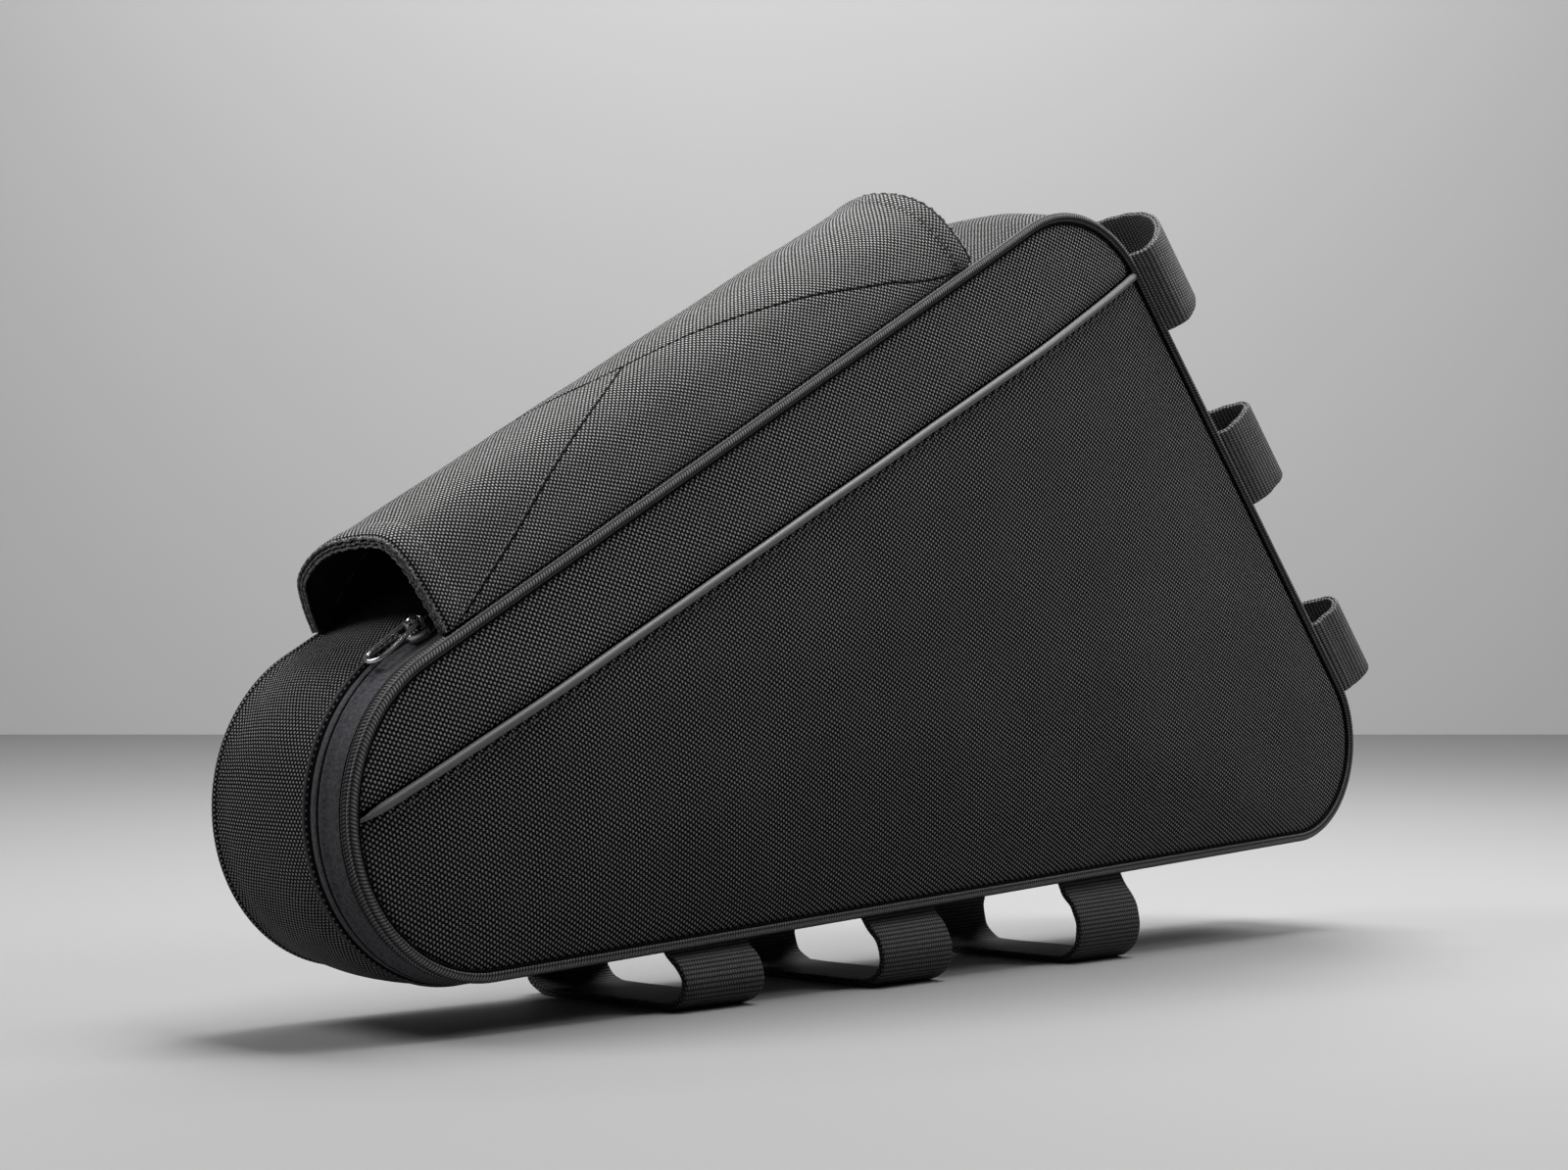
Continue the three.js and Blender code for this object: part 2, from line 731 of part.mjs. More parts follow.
// The sleeve's arch at a share of its length
function sleeveCurve(share) {
  const height = lerp(sleeveFrontHeight, sleeveRearHeight, share);
  const nearFoot = { deep: zipInset - sleeveWall + sleeveFootLap, out: bulgeAt(zipInset) + clearance };
  const farFoot = { deep: bagDepth + sleeveFarOverhang, out: pipingRadius + clearance };
  const middle = sleeveArch.map((row) => ({
    deep: lerp(row.frontDeep, row.rearDeep, share) * bagDepth,
    out: lerp(row.frontUp, row.rearUp, share) * height,
  }));
  return smoothRoute([nearFoot, ...middle, farFoot]);
}

// A place on the sleeve: along and around as shares, height off its outer face.
// Past either foot it goes on towards the bag, so that a cutter reaches through.
function sleevePlace(along, around, height) {
  const held = THREE.MathUtils.clamp(around, 0, 1);
  const { outer, inner } = routeFaces(sleeveCurve(along), [held], 0, -sleeveWall)[0];
  const point = outer.clone().lerp(inner, -height / sleeveWall);
  point.y -= Math.abs(around - held) * archLength();
  return edgePlace(outline.edges.top.run + sleeveStart + along * sleeveLength, point.x, point.y);
}

function archLength() {
  return sleeveCurve(0.5).getLength();
}

function sleeveGrid(rows, placeAt) {
  const layer = (height) => rows.map((row) => placeAt(row).map(([along, around]) => (
    sleevePlace(along, around, height))));
  return (high, low) => sheet(layer(high), layer(low), false);
}

// The slab of the sleeve under a side seam; side is 0 near and 1 far, grow widens it at the seam
function sideSlab(seam, side, grow) {
  const reach = grow / archLength();
  const rows = seam.map((row, i) => {
    const end = i === 0 || i === seam.length - 1;
    return { along: row.along + (end ? Math.sign(i - 1) * grow / sleeveLength : 0), around: row.around + reach };
  });
  const grid = sleeveGrid(rows, (row) => spread(0, 1, slabSteps).map((t) => {
    const around = t === 0 ? -cutterShare : t * row.around;
    return [row.along, side === 0 ? around : 1 - around];
  }));
  return solidOf(grid(cutterReach, -sleeveWall - cutterReach));
}

// The slab of the sleeve ahead of the ridge seam
function frontSlab(grow) {
  const seamAt = (around) => {
    const next = Math.max(1, ridgeSeam.findIndex((row) => row.around >= around));
    const [a, b] = [ridgeSeam[next - 1], ridgeSeam[next]];
    return lerp(a.along, b.along, (around - a.around) / (b.around - a.around));
  };
  const arounds = [...spread(0, 1, archSteps), ...ridgeSeam.map((row) => row.around)].sort((a, b) => a - b);
  const rows = arounds.filter((around, i) => i === 0 || around - arounds[i - 1] > 1e-3);
  const grid = sleeveGrid(rows, (around) => [
    [-cutterShare, around],
    [seamAt(around) + grow / sleeveLength, around],
  ]);
  return solidOf(grid(cutterReach, -sleeveWall - cutterReach));
}

// The sleeve's four sewn pieces, each cut from the whole arch and clear of the next by a seam's gap
function makeSleevePieces() {
  const wholeGrid = sleeveGrid(spread(0, 1, sleeveSteps), (along) => (
    spread(0, 1, archSteps).map((around) => [along, around])));
  const whole = solidOf(wholeGrid(0, -sleeveWall));
  const half = clearance / 2;
  const ridgeHalf = 1.5 * clearance;
  const sides = [
    { name: 'sleeve_side_near', seam: nearSideSeam, side: 0 },
    { name: 'sleeve_side_far', seam: farSideSeam, side: 1 },
  ];
  const pieces = sides.map(({ name, seam, side }) => (
    { name, solid: whole.intersect(sideSlab(seam, side, -half)) }));
  const rest = sides.reduce((solid, { seam, side }) => solid.subtract(sideSlab(seam, side, half)), whole);
  pieces.push({ name: 'sleeve_front', solid: rest.intersect(frontSlab(-ridgeHalf)) });
  pieces.push({ name: 'sleeve_rear', solid: rest.subtract(frontSlab(ridgeHalf)) });
  return pieces.map(({ name, solid }) => ({ name, geometry: geometryFrom(mainBody(solid)) }));
}

// The slider's own frame: x along the zip towards the tail, y into the bag, z off the tape
function sliderFrame() {
  const run = outline.edges.top.run + sliderRun;
  const here = edgePlace(run, coilInset, bulgeAt(coilInset) + tapeTop);
  const ahead = edgePlace(run + 1, coilInset, bulgeAt(coilInset) + tapeTop);
  const deeper = edgePlace(run, coilInset + 1, bulgeAt(coilInset + 1) + tapeTop);
  const x = ahead.sub(here).normalize();
  const z = new THREE.Vector3().crossVectors(x, deeper.sub(here)).normalize();
  const y = new THREE.Vector3().crossVectors(z, x);
  return new THREE.Matrix4().makeBasis(x, y, z).setPosition(here);
}

const sliderPlateTop = clearance + coilHeight + clearance + sliderPlate;
// High enough for the puller's rails to clear the plate's end where they lean over it
const hingeHeight = sliderPlateTop + clearance + pullerWire / 2 + Math.tan(pullerTilt) * sliderLength / 2;

function makeSlider() {
  const half = sliderLength / 2;
  const wide = sliderWidth / 2;
  const shape = new THREE.Shape();
  shape.moveTo(-half, -plateTail.across * wide);
  shape.quadraticCurveTo(-half, -wide, -plateTail.along * half, -wide);
  shape.lineTo(plateNose.along * half, -wide);
  shape.quadraticCurveTo(half, -plateNose.across * wide, half, 0);
  shape.quadraticCurveTo(half, plateNose.across * wide, plateNose.along * half, wide);
  shape.lineTo(-plateTail.along * half, wide);
  shape.quadraticCurveTo(-half, wide, -half, plateTail.across * wide);
  const depth = sliderPlateTop - clearance;
  const plate = new THREE.ExtrudeGeometry(shape, { depth, bevelEnabled: false, curveSegments: plateCurveSteps });
  plate.translate(0, 0, clearance);
  const channelHeight = sliderPlateTop - sliderPlate;
  const channelSize = new THREE.Vector3(2 * sliderLength, coilWidth + 4 * clearance, 2 * channelHeight);
  const channel = boxSolid(channelSize, new THREE.Vector3(0, 0, 0));
  const bridgeTop = hingeHeight + pullerWire / 2 + clearance + bridgeBar;
  const bridgeSize = new THREE.Vector3(bridgeSpan, bridgeWidth, bridgeTop - sliderPlateTop + bridgeSink);
  const bridgeMiddle = new THREE.Vector3(0, 0, (bridgeTop + sliderPlateTop - bridgeSink) / 2);
  const windowSize = new THREE.Vector3(bridgeSpan - 2 * bridgeBar, 2 * bridgeWidth, pullerWire + 2 * clearance);
  const window = boxSolid(windowSize, new THREE.Vector3(0, 0, hingeHeight));
  const bridge = boxSolid(bridgeSize, bridgeMiddle).subtract(window);
  return geometryFrom(solidOf(plate).subtract(channel).add(bridge));
}

// A closed wire, narrow where it hangs in the slider's bridge and wide at its free end
function makePuller() {
  const straight = pullerLength - pullerWidth / 2 - pullerNeck / 4;
  const tip = pullerWidth / 2 - pullerWire / 2;
  const neck = pullerNeck / 2 - pullerWire / 2;
  const along = (row) => -row.along * straight - row.past * tip;
  const half = (row) => row.neck * neck + row.tip * tip;
  const path = [
    new THREE.Vector3(0, 0, 0),
    ...pullerPath.map((row) => new THREE.Vector3(along(row), half(row), 0)),
    new THREE.Vector3(-straight - tip, 0, 0),
    ...pullerPath.toReversed().map((row) => new THREE.Vector3(along(row), -half(row), 0)),
  ];
  const curve = new THREE.CatmullRomCurve3(path, true, 'centripetal');
  const radius = pullerWire / 2;
  const up = new THREE.Vector3(0, 0, 1);
  const sections = spread(0, 1, wireSteps).slice(0, -1).map((t) => {
    const centre = curve.getPointAt(t);
    const side = new THREE.Vector3().crossVectors(up, curve.getTangentAt(t)).normalize();
    return spread(0, 2 * Math.PI, wireSides).slice(0, -1).map((angle) => centre.clone()
      .addScaledVector(side, radius * Math.cos(angle))
      .addScaledVector(up, radius * Math.sin(angle)));
  });
  return ringBody(sections);
}

const materials = {
  canvas: new THREE.MeshStandardMaterial({ color: 0x2b2c2e, roughness: 0.85, metalness: 0 }),
  pocketCanvas: new THREE.MeshStandardMaterial({ color: 0x252628, roughness: 0.85, metalness: 0 }),
  piping: new THREE.MeshStandardMaterial({ color: 0x1f2022, roughness: 0.8, metalness: 0 }),
  reflective: new THREE.MeshStandardMaterial({ color: 0x8d9093, roughness: 0.4, metalness: 0.1 }),
  zipTape: new THREE.MeshStandardMaterial({ color: 0x2a282e, roughness: 0.9, metalness: 0 }),
  zipCoil: new THREE.MeshStandardMaterial({ color: 0x151517, roughness: 0.5, metalness: 0 }),
  gunmetal: new THREE.MeshStandardMaterial({ color: 0x0e0e10, roughness: 0.15, metalness: 1 }),
  webbing: new THREE.MeshStandardMaterial({ color: 0x222325, roughness: 0.8, metalness: 0 }),
};

const bag = new THREE.Group();

function addPiece(name, geometry, material, parent = bag) {
  const mesh = new THREE.Mesh(geometry, material);
  mesh.name = name;
  parent.add(mesh);
  return mesh;
}

addPiece('gusset', makeGusset(), materials.canvas);
addPiece('near_panel_upper', makeNearPanel(1), materials.canvas);
addPiece('near_panel_lower', makeNearPanel(-1), materials.pocketCanvas);
addPiece('far_panel', makePanel(1), materials.canvas);
addPiece('near_piping', makePiping(0), materials.piping);
addPiece('far_piping', makePiping(bagDepth), materials.piping);
addPiece('reflective_piping', makeReflectivePiping(), materials.reflective);

addPiece('zip_tape_near', makeTape(zipInset + clearance, coilInset - clearance / 2), materials.zipTape);
addPiece('zip_tape_far', makeTape(coilInset + clearance / 2, zipInset + zipWidth - clearance), materials.zipTape);
addPiece('zip_coil', makeCoil(), materials.zipCoil);

for (const { name, geometry } of makeSleevePieces()) {
  addPiece(name, geometry, materials.canvas);
}

const slider = new THREE.Group();
slider.applyMatrix4(sliderFrame());
bag.add(slider);
addPiece('zip_slider', makeSlider(), materials.gunmetal, slider);
const puller = addPiece('zip_puller', makePuller(), materials.gunmetal, slider);
puller.position.set(0, 0, hingeHeight);
puller.rotation.y = -pullerTilt;

for (const { name, place } of lowerLoops) {
  addPiece(name, makeLowerLoop(place), materials.webbing);
}
for (const { name, place, route } of rearLoops) {
  addPiece(name, makeRearLoop(place, route), materials.webbing);
}

export default bag;
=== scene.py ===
import math

import bmesh
import bpy
import numpy as np
from mathutils import Matrix, Vector


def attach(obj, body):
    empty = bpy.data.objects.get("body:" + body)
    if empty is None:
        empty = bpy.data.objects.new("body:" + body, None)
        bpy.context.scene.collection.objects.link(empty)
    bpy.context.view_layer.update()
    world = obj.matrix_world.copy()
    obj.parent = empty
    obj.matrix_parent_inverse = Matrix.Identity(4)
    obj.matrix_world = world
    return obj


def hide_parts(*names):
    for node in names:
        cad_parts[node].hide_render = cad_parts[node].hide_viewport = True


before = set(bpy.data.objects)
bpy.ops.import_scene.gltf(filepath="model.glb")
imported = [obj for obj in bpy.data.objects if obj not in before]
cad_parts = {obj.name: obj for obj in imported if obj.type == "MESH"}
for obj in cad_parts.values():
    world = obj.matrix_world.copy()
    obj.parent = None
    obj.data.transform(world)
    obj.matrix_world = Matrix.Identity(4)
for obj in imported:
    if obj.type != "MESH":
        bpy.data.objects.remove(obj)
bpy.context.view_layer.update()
print("frame loaded")

# Lengths here are in millimetres; meshes are turned into metres when they are made.
# Around the bag's edge a place is a run along it, a depth from the near side and a level outwards.
toMetres = 0.001


def smoothStep(low, high, value):
    share = np.clip((value - low) / (high - low), 0, 1)
    return share * share * (3 - 2 * share)


def bell(distance, width):
    return np.exp(-(distance / width) ** 2)


def unit(vectors):
    return vectors / np.linalg.norm(vectors, axis=-1, keepdims=True)


def runAlong(path):
    # How far along a path each of its points lies.
    return np.concatenate([[0], np.cumsum(np.linalg.norm(np.diff(path, axis=0), axis=1))])


def turned(a, b, degrees):
    turn = math.radians(degrees)
    return np.stack([a * math.cos(turn) - b * math.sin(turn), a * math.sin(turn) + b * math.cos(turn)], -1)


def smoothCurve(here, after, v0, v1, t):
    # A cubic between two points with given headings.
    cubic = 2 * here - 2 * after + v0 + v1
    square = 3 * after - 3 * here - 2 * v0 - v1
    return cubic * t ** 3 + square * t ** 2 + v0 * t + here


def fieldAt(field, row, column):
    # Smooth values in between those of a grid; its rows may go round.
    row0, column0 = np.floor(row).astype(int), np.floor(column).astype(int)
    a, b = smoothStep(0, 1, row - row0), smoothStep(0, 1, column - column0)
    pick = lambda i, j: field[i % len(field), j]
    low = pick(row0, column0) * (1 - a) + pick(row0 + 1, column0) * a
    high = pick(row0, column0 + 1) * (1 - a) + pick(row0 + 1, column0 + 1) * a
    return low * (1 - b) + high * b


def addObject(name, data):
    thing = bpy.data.objects.new(name, data)
    bpy.context.scene.collection.objects.link(thing)
    return thing


# Camera

view = {
    "place": (-0.6638, -0.6382, 0.1061),
    "forward": (0.7089, 0.7051, 0.0177),
    "right": (0.7052, -0.7090, 0.0),
    "lens": 67.5,
    "sensor": 36.0,
}


def makeCamera():
    data = bpy.data.cameras.new("photoCamera")
    data.lens = view["lens"]
    data.sensor_width = view["sensor"]
    data.sensor_fit = "HORIZONTAL"
    data.clip_start = 0.01
    data.clip_end = 50
    camera = addObject("photoCamera", data)
    right = Vector(view["right"]).normalized()
    back = -Vector(view["forward"]).normalized()
    up = back.cross(right).normalized()
    turn = Matrix((right, up, back)).transposed().to_4x4()
    camera.matrix_world = Matrix.Translation(view["place"]) @ turn
    bpy.context.scene.camera = camera


makeCamera()

# The bag's outline

bag = {
    "topApexLength": 510.7,
    "topAngle": 29.2,
    "rearAngle": -49.8,
    "lowerAngle": 3.0,
    "noseRadius": 45.0,
    "topRadius": 43.0,
    "tailRadius": 33.0,
    "depth": 60.0,
    "standHeight": 24.1,
    "originPlace": 0.4375,
    "bulge": 3.6,
    "crown": 9.0,
    "crownPower": 2.6,
    "pipingRadius": 1.5,
    "gap": 0.3,
    "wall": 2.0,
}


def headingOf(angle):
    return np.array([math.cos(angle), math.sin(angle)])


class Outline:
    def __init__(self, shape):
        top, rear, lower = [math.radians(shape[key]) for key in ("topAngle", "rearAngle", "lowerAngle")]
        noseCorner = top - lower
        topCorner = math.pi - top + rear
        tailCorner = lower - rear
        length = shape["topApexLength"]
        rearLength = length * math.sin(noseCorner) / math.sin(tailCorner)
        lowerLength = length * math.sin(topCorner) / math.sin(tailCorner)
        noseCut = shape["noseRadius"] / math.tan(noseCorner / 2)
        topCut = shape["topRadius"] / math.tan(topCorner / 2)
        tailCut = shape["tailRadius"] / math.tan(tailCorner / 2)
        straight = lowerLength - noseCut - tailCut
        originRun = noseCut + shape["originPlace"] * straight
        nose = np.array([0.0, shape["standHeight"]]) - headingOf(lower) * originRun
        apex = nose + headingOf(top) * length
        tail = nose + headingOf(lower) * lowerLength
        self.centre = (nose + apex + tail) / 3
        self.pieces = []
        self.edges = {}
        self.total = 0.0
        back = lower + math.pi
        self.addEdge("top", nose, top, noseCut, length - topCut, shape["topRadius"], rear)
        self.addEdge("rear", apex, rear, topCut, rearLength - tailCut, shape["tailRadius"], back)
        self.addEdge("lower", tail, back, tailCut, lowerLength - noseCut, shape["noseRadius"], top)

    def addEdge(self, name, start, angle, near, far, radius, nextAngle):
        length = far - near
        self.edges[name] = {"run": self.total, "length": length, "angle": angle}
        self.pieces.append((self.total, length, start + headingOf(angle) * near, angle, 0.0, 0.0))
        self.total += length
        turn = (nextAngle - angle) % (-2 * math.pi)
        arc = radius * abs(turn)
        self.pieces.append((self.total, arc, start + headingOf(angle) * far, angle, turn, radius))
        self.total += arc

    def at(self, run):
        run = np.mod(np.asarray(run, float), self.total)
        point = np.zeros(run.shape + (2,))
        normal = np.zeros(run.shape + (2,))
        for start, length, begin, angle, turn, radius in self.pieces:
            here = (run >= start) & (run <= start + length)
            along = (run[here] - start)[:, None]
            if turn == 0:
                point[here] = begin + headingOf(angle) * along
                normal[here] = headingOf(angle + math.pi / 2)
            else:
                centre = begin + headingOf(angle - math.pi / 2) * radius
                side = angle + math.pi / 2 + turn * along[:, 0] / length
                normal[here] = np.stack([np.cos(side), np.sin(side)], -1)
                point[here] = centre + normal[here] * radius
        return point, normal


outline = Outline(bag)
topEdge, rearEdge, lowerEdge = [outline.edges[key] for key in ("top", "rear", "lower")]
noseArc = outline.pieces[5]


def bulgeAt(deep):
    side = 2 * np.asarray(deep, float) / bag["depth"] - 1
    return bag["bulge"] * (1 - side * side)


def place(run, deep, out):
    run, deep, out = np.broadcast_arrays(np.asarray(run, float), deep, out)
    point, normal = outline.at(run.ravel())
    point = point.reshape(run.shape + (2,))
    normal = normal.reshape(run.shape + (2,))
    flat = point + normal * out[..., None]
    return np.stack([flat[..., 0], deep - bag["depth"] / 2, flat[..., 1]], -1)


def placeOver(run, deep, level):
    # A place on or above the gusset's swell.
    return place(run, deep, bulgeAt(deep) + level)


def aroundEdge(count):
    return np.linspace(0, outline.total, count, endpoint=False)


# Meshes

class Shell:
    # Collects grids, strips and caps with their cloth coordinates, and makes one object of them.
    def __init__(self):
        self.points = []
        self.count = 0
        self.faces = []
        self.cloth = []
        self.lined = []

    def addPoints(self, points):
        flat = points.reshape(-1, 3)
        self.points.append(flat)
        index = self.count + np.arange(len(flat)).reshape(points.shape[:-1])
        self.count += len(flat)
        return index

    def join(self, index, cloth):
        corners = lambda a: np.stack([a[:-1, :-1], a[1:, :-1], a[1:, 1:], a[:-1, 1:]], 2)
        self.faces.extend(corners(index).reshape(-1, 4).tolist())
        self.cloth.extend(corners(cloth).reshape(-1, 2).tolist())

    def grid(self, points, cloth, ringRows=False, ringColumns=False, lined=False):
        index = self.addPoints(points)
        first = len(self.faces)
        whole = index
        if ringRows:
            whole = np.vstack([whole, whole[:1]])
        if ringColumns:
            whole = np.hstack([whole, whole[:, :1]])
        self.join(whole, cloth)
        if lined:
            self.lined.extend(range(first, len(self.faces)))
        return index

    def strip(self, first, second, cloth):
        self.join(np.stack([first, second]), np.stack([cloth, cloth]))

    def cap(self, ring, cloth):
        self.faces.append(ring.tolist())
        self.cloth.extend(cloth.tolist())

    def capEnds(self, index):
        for row in (0, -1):
            self.cap(index[row], np.zeros((index.shape[1], 2)))

    def build(self, name, material, crease=50, lining=None):
        mesh = bpy.data.meshes.new(name)
        points = np.concatenate(self.points) * toMetres
        mesh.from_pydata(points.tolist(), [], self.faces)
        layer = mesh.uv_layers.new(name="Cloth")
        layer.data.foreach_set("uv", np.asarray(self.cloth, np.float32).ravel())
        for face in self.lined:
            mesh.polygons[face].material_index = 1
        work = bmesh.new()
        work.from_mesh(mesh)
        bmesh.ops.remove_doubles(work, verts=work.verts, dist=1e-6)
        bmesh.ops.recalc_face_normals(work, faces=work.faces)
        work.to_mesh(mesh)
        work.free()
        mesh.shade_smooth()
        mesh.set_sharp_from_angle(angle=math.radians(crease))
        mesh.materials.append(material)
        if lining:
            mesh.materials.append(lining)
        return addObject(name, mesh)


def sheetShell(outer, inner, cloth, ring=False):
    shell = Shell()
    top = shell.grid(outer, cloth, ringRows=ring)
    low = shell.grid(inner, cloth, ringRows=ring, lined=True)
    wrap = (lambda a: np.append(a, a[:1], 0)) if ring else (lambda a: a)
    for column in (0, -1):
        shell.strip(wrap(top[:, column]), wrap(low[:, column]), cloth[:, column])
    if not ring:
        for row in (0, -1):
            shell.strip(top[row], low[row], cloth[row])
    return shell


def finishPiece(piece, slot, nodes=(), body="bag"):
    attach(piece, body)
    if nodes:
        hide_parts(*nodes)


def tubeShell(path, radius, sides, closed, up):
    # A round tube along a path; radius may vary along it.
    path = np.asarray(path, float)
    if closed:
        ahead = np.roll(path, -1, 0) - np.roll(path, 1, 0)
    else:
        ahead = np.gradient(path, axis=0)
    ahead = unit(ahead)
    side = unit(np.cross(np.broadcast_to(np.asarray(up, float), path.shape), ahead))
    top = np.cross(ahead, side)
    angles = np.linspace(0, 2 * math.pi, sides, endpoint=False)
    radius = np.broadcast_to(np.asarray(radius, float), (len(path),))
    circle = np.cos(angles)[None, :, None] * side[:, None] + np.sin(angles)[None, :, None] * top[:, None]
    rings = path[:, None] + radius[:, None, None] * circle
    run = runAlong(path)
    if closed:
        run = np.append(run, run[-1] + np.linalg.norm(path[0] - path[-1]))
    around = np.append(angles, 2 * math.pi) * float(radius.max())
    across, along = np.meshgrid(around, run)
    shell = Shell()
    index = shell.grid(rings, np.stack([across, along], -1), ringRows=closed, ringColumns=True)
    if not closed:
        shell.capEnds(index)
    return shell


def addTube(whole, tube):
    index = whole.addPoints(tube.points[0])
    first = int(index.ravel()[0])
    whole.faces.extend([[first + corner for corner in face] for face in tube.faces])
    whole.cloth.extend(list(tube.cloth))


# Cloth simulation

cloth = {"frames": 20, "cap": 2.2, "kept": 0.4, "ironing": 5}
clothSettings = {
    "quality": 5,
    "mass": 0.25,
    "tension_stiffness": 25,
    "compression_stiffness": 25,
    "shear_stiffness": 8,
    "bending_stiffness": 0.8,
    "vertex_group_mass": "pins",
    "use_pressure": True,
}


def ironed(values, axis, ring):
    # One pass of evening out between neighbours, so that only the broad swell is left.
    before, after = np.roll(values, 1, axis), np.roll(values, -1, axis)
    even = values * 0.5 + (before + after) * 0.25
    if not ring:
        edge = [slice(None)] * values.ndim
        for end in (0, -1):
            edge[axis] = end
            even[tuple(edge)] = values[tuple(edge)]
    return even


def settle(name, grid, pinned, pressure, slack, ringRows=False):
    # Blows a sheet up gently between its pinned rims and returns how far each point moved, in mm.
    shell = Shell()
    rows, columns = grid.shape[:2]
    flat = np.zeros((rows + ringRows, columns, 2))
    shell.grid(grid, flat, ringRows=ringRows)
    mesh = bpy.data.meshes.new(name)
    mesh.from_pydata((grid.reshape(-1, 3) * toMetres).tolist(), [], shell.faces)
    sheet = addObject(name, mesh)
    group = sheet.vertex_groups.new(name="pins")
    group.add(np.flatnonzero(pinned.ravel()).tolist(), 1.0, "REPLACE")
    modifier = sheet.modifiers.new("settle", "CLOTH")
    setting = modifier.settings
    for key, value in clothSettings.items():
        setattr(setting, key, value)
    setting.uniform_pressure_force = pressure
    setting.shrink_min = -slack
    setting.effector_weights.gravity = 0
    modifier.collision_settings.use_collision = False
    modifier.point_cache.frame_start = 1
    modifier.point_cache.frame_end = cloth["frames"]
    for number in range(1, cloth["frames"] + 1):
        bpy.context.scene.frame_set(number)
    settled = sheet.evaluated_get(bpy.context.evaluated_depsgraph_get())
    moved = np.empty(rows * columns * 3)
    settled.data.vertices.foreach_get("co", moved)
    bpy.data.objects.remove(sheet)
    bpy.data.meshes.remove(mesh)
    bpy.context.scene.frame_set(1)
    shift = moved.reshape(grid.shape) / toMetres - grid
    size = np.linalg.norm(shift, axis=-1, keepdims=True)
    shift *= np.minimum(1, cloth["cap"] / np.maximum(size, 1e-6))
    for number in range(cloth["ironing"]):
        shift = ironed(shift, 0, ringRows)
        shift = ironed(shift, 1, False)
    return shift * cloth["kept"]


# Finishes

def sumNode(operation, swapped=False):
    def make(self, other=0.0):
        pair = [other, self] if swapped else [self, other]
        return self.finish.node("ShaderNodeMath", {"operation": operation}, pair)
    return make


class Number:
    # A socket that carries a value, so that shader sums are written as sums.
    def __init__(self, finish, socket):
        self.finish = finish
        self.socket = socket

    __add__ = sumNode("ADD")
    __radd__ = sumNode("ADD", True)
    __sub__ = sumNode("SUBTRACT")
    __rsub__ = sumNode("SUBTRACT", True)
    __mul__ = sumNode("MULTIPLY")
    __rmul__ = sumNode("MULTIPLY", True)
    __truediv__ = sumNode("DIVIDE")
    __rtruediv__ = sumNode("DIVIDE", True)
    __pow__ = sumNode("POWER")
    __rpow__ = sumNode("POWER", True)
    __abs__ = sumNode("ABSOLUTE")
    sine = sumNode("SINE")
    floor = sumNode("FLOOR")
    modulo = sumNode("FLOORED_MODULO")
    above = sumNode("MAXIMUM")
    below = sumNode("MINIMUM")


class Finish:
    def __init__(self, name):
        self.material = bpy.data.materials.new(name)
        self.material.use_nodes = True
        self.tree = self.material.node_tree
        self.tree.nodes.clear()

    def node(self, kind, settings=None, inputs=(), output=0):
        node = self.tree.nodes.new(kind)
        for key, value in (settings or {}).items():
            setattr(node, key, value)
        pairs = inputs.items() if isinstance(inputs, dict) else enumerate(inputs)
        for key, value in pairs:
            if isinstance(value, Number):
                self.tree.links.new(value.socket, node.inputs[key])
            else:
                node.inputs[key].default_value = value
        return Number(self, node.outputs[output]) if node.outputs else None

    def cloth(self):
        spot = self.node("ShaderNodeUVMap", {"uv_map": "Cloth"})
        parts = self.node("ShaderNodeSeparateXYZ", None, [spot])
        return parts, Number(self, parts.socket.node.outputs[1])

    def noise(self, scale, detail=2.0, roughness=0.5):
        # Fine to broad unevenness, laid out in the object's own space; scale is per metre.
        spot = self.node("ShaderNodeTexCoord", None, (), 3)
        values = {"Vector": spot, "Scale": scale, "Detail": detail, "Roughness": roughness}
        return self.node("ShaderNodeTexNoise", {"noise_dimensions": "3D"}, values)

    def blend(self, factor, first, second):
        return self.node("ShaderNodeMix", {"data_type": "RGBA"}, {0: factor, 6: first, 7: second}, 2)

    def bump(self, height, distance, strength):
        values = {"Strength": strength, "Distance": distance, "Height": height}
        return self.node("ShaderNodeBump", None, values)

    def surface(self, values):
        shader = self.node("ShaderNodeBsdfPrincipled", None, values)
        self.node("ShaderNodeOutputMaterial", None, {"Surface": shader})
        return self.material

    def woven(self, tone, height, spec, roughness, warmth=0.0):
        # Thread against the dark of the gaps, with the height as bump; the tone paints highlights on raised
        # thread and shade in the gaps.
        return self.surface({
            "Base Color": self.blend(tone.below(1.0), grey(spec["gap"]), grey(spec["thread"], warmth)),
            "Roughness": roughness,
            "Normal": self.bump(height, spec["bump"], 0.8),
            "Specular IOR Level": spec["gloss"],
        })


def grey(level, warmth=0.0):
    return (level * (1 + warmth), level, level * (1 - warmth), 1)


# One canvas on every piece. Each piece's thread level is set to how bright that piece shows in the light:
# lighter on the sleeve, darker on the pocket and gusset, as painted light and shade. cross is how bright the
# other thread set is painted beside the glinting one.
canvas = {
    "upper": {"along": 1.0, "across": 0.77, "thread": 0.3, "cross": 0.13, "gap": 0.002},
    "sleeve": {"along": 0.93, "across": 0.7, "thread": 0.4, "cross": 0.5, "gap": 0.002},
    "pocket": {"along": 1.05, "across": 0.765, "thread": 0.235, "cross": 0.15, "gap": 0.002},
    "gusset": {"along": 0.95, "across": 0.68, "thread": 0.26, "cross": 0.25, "gap": 0.001},
}


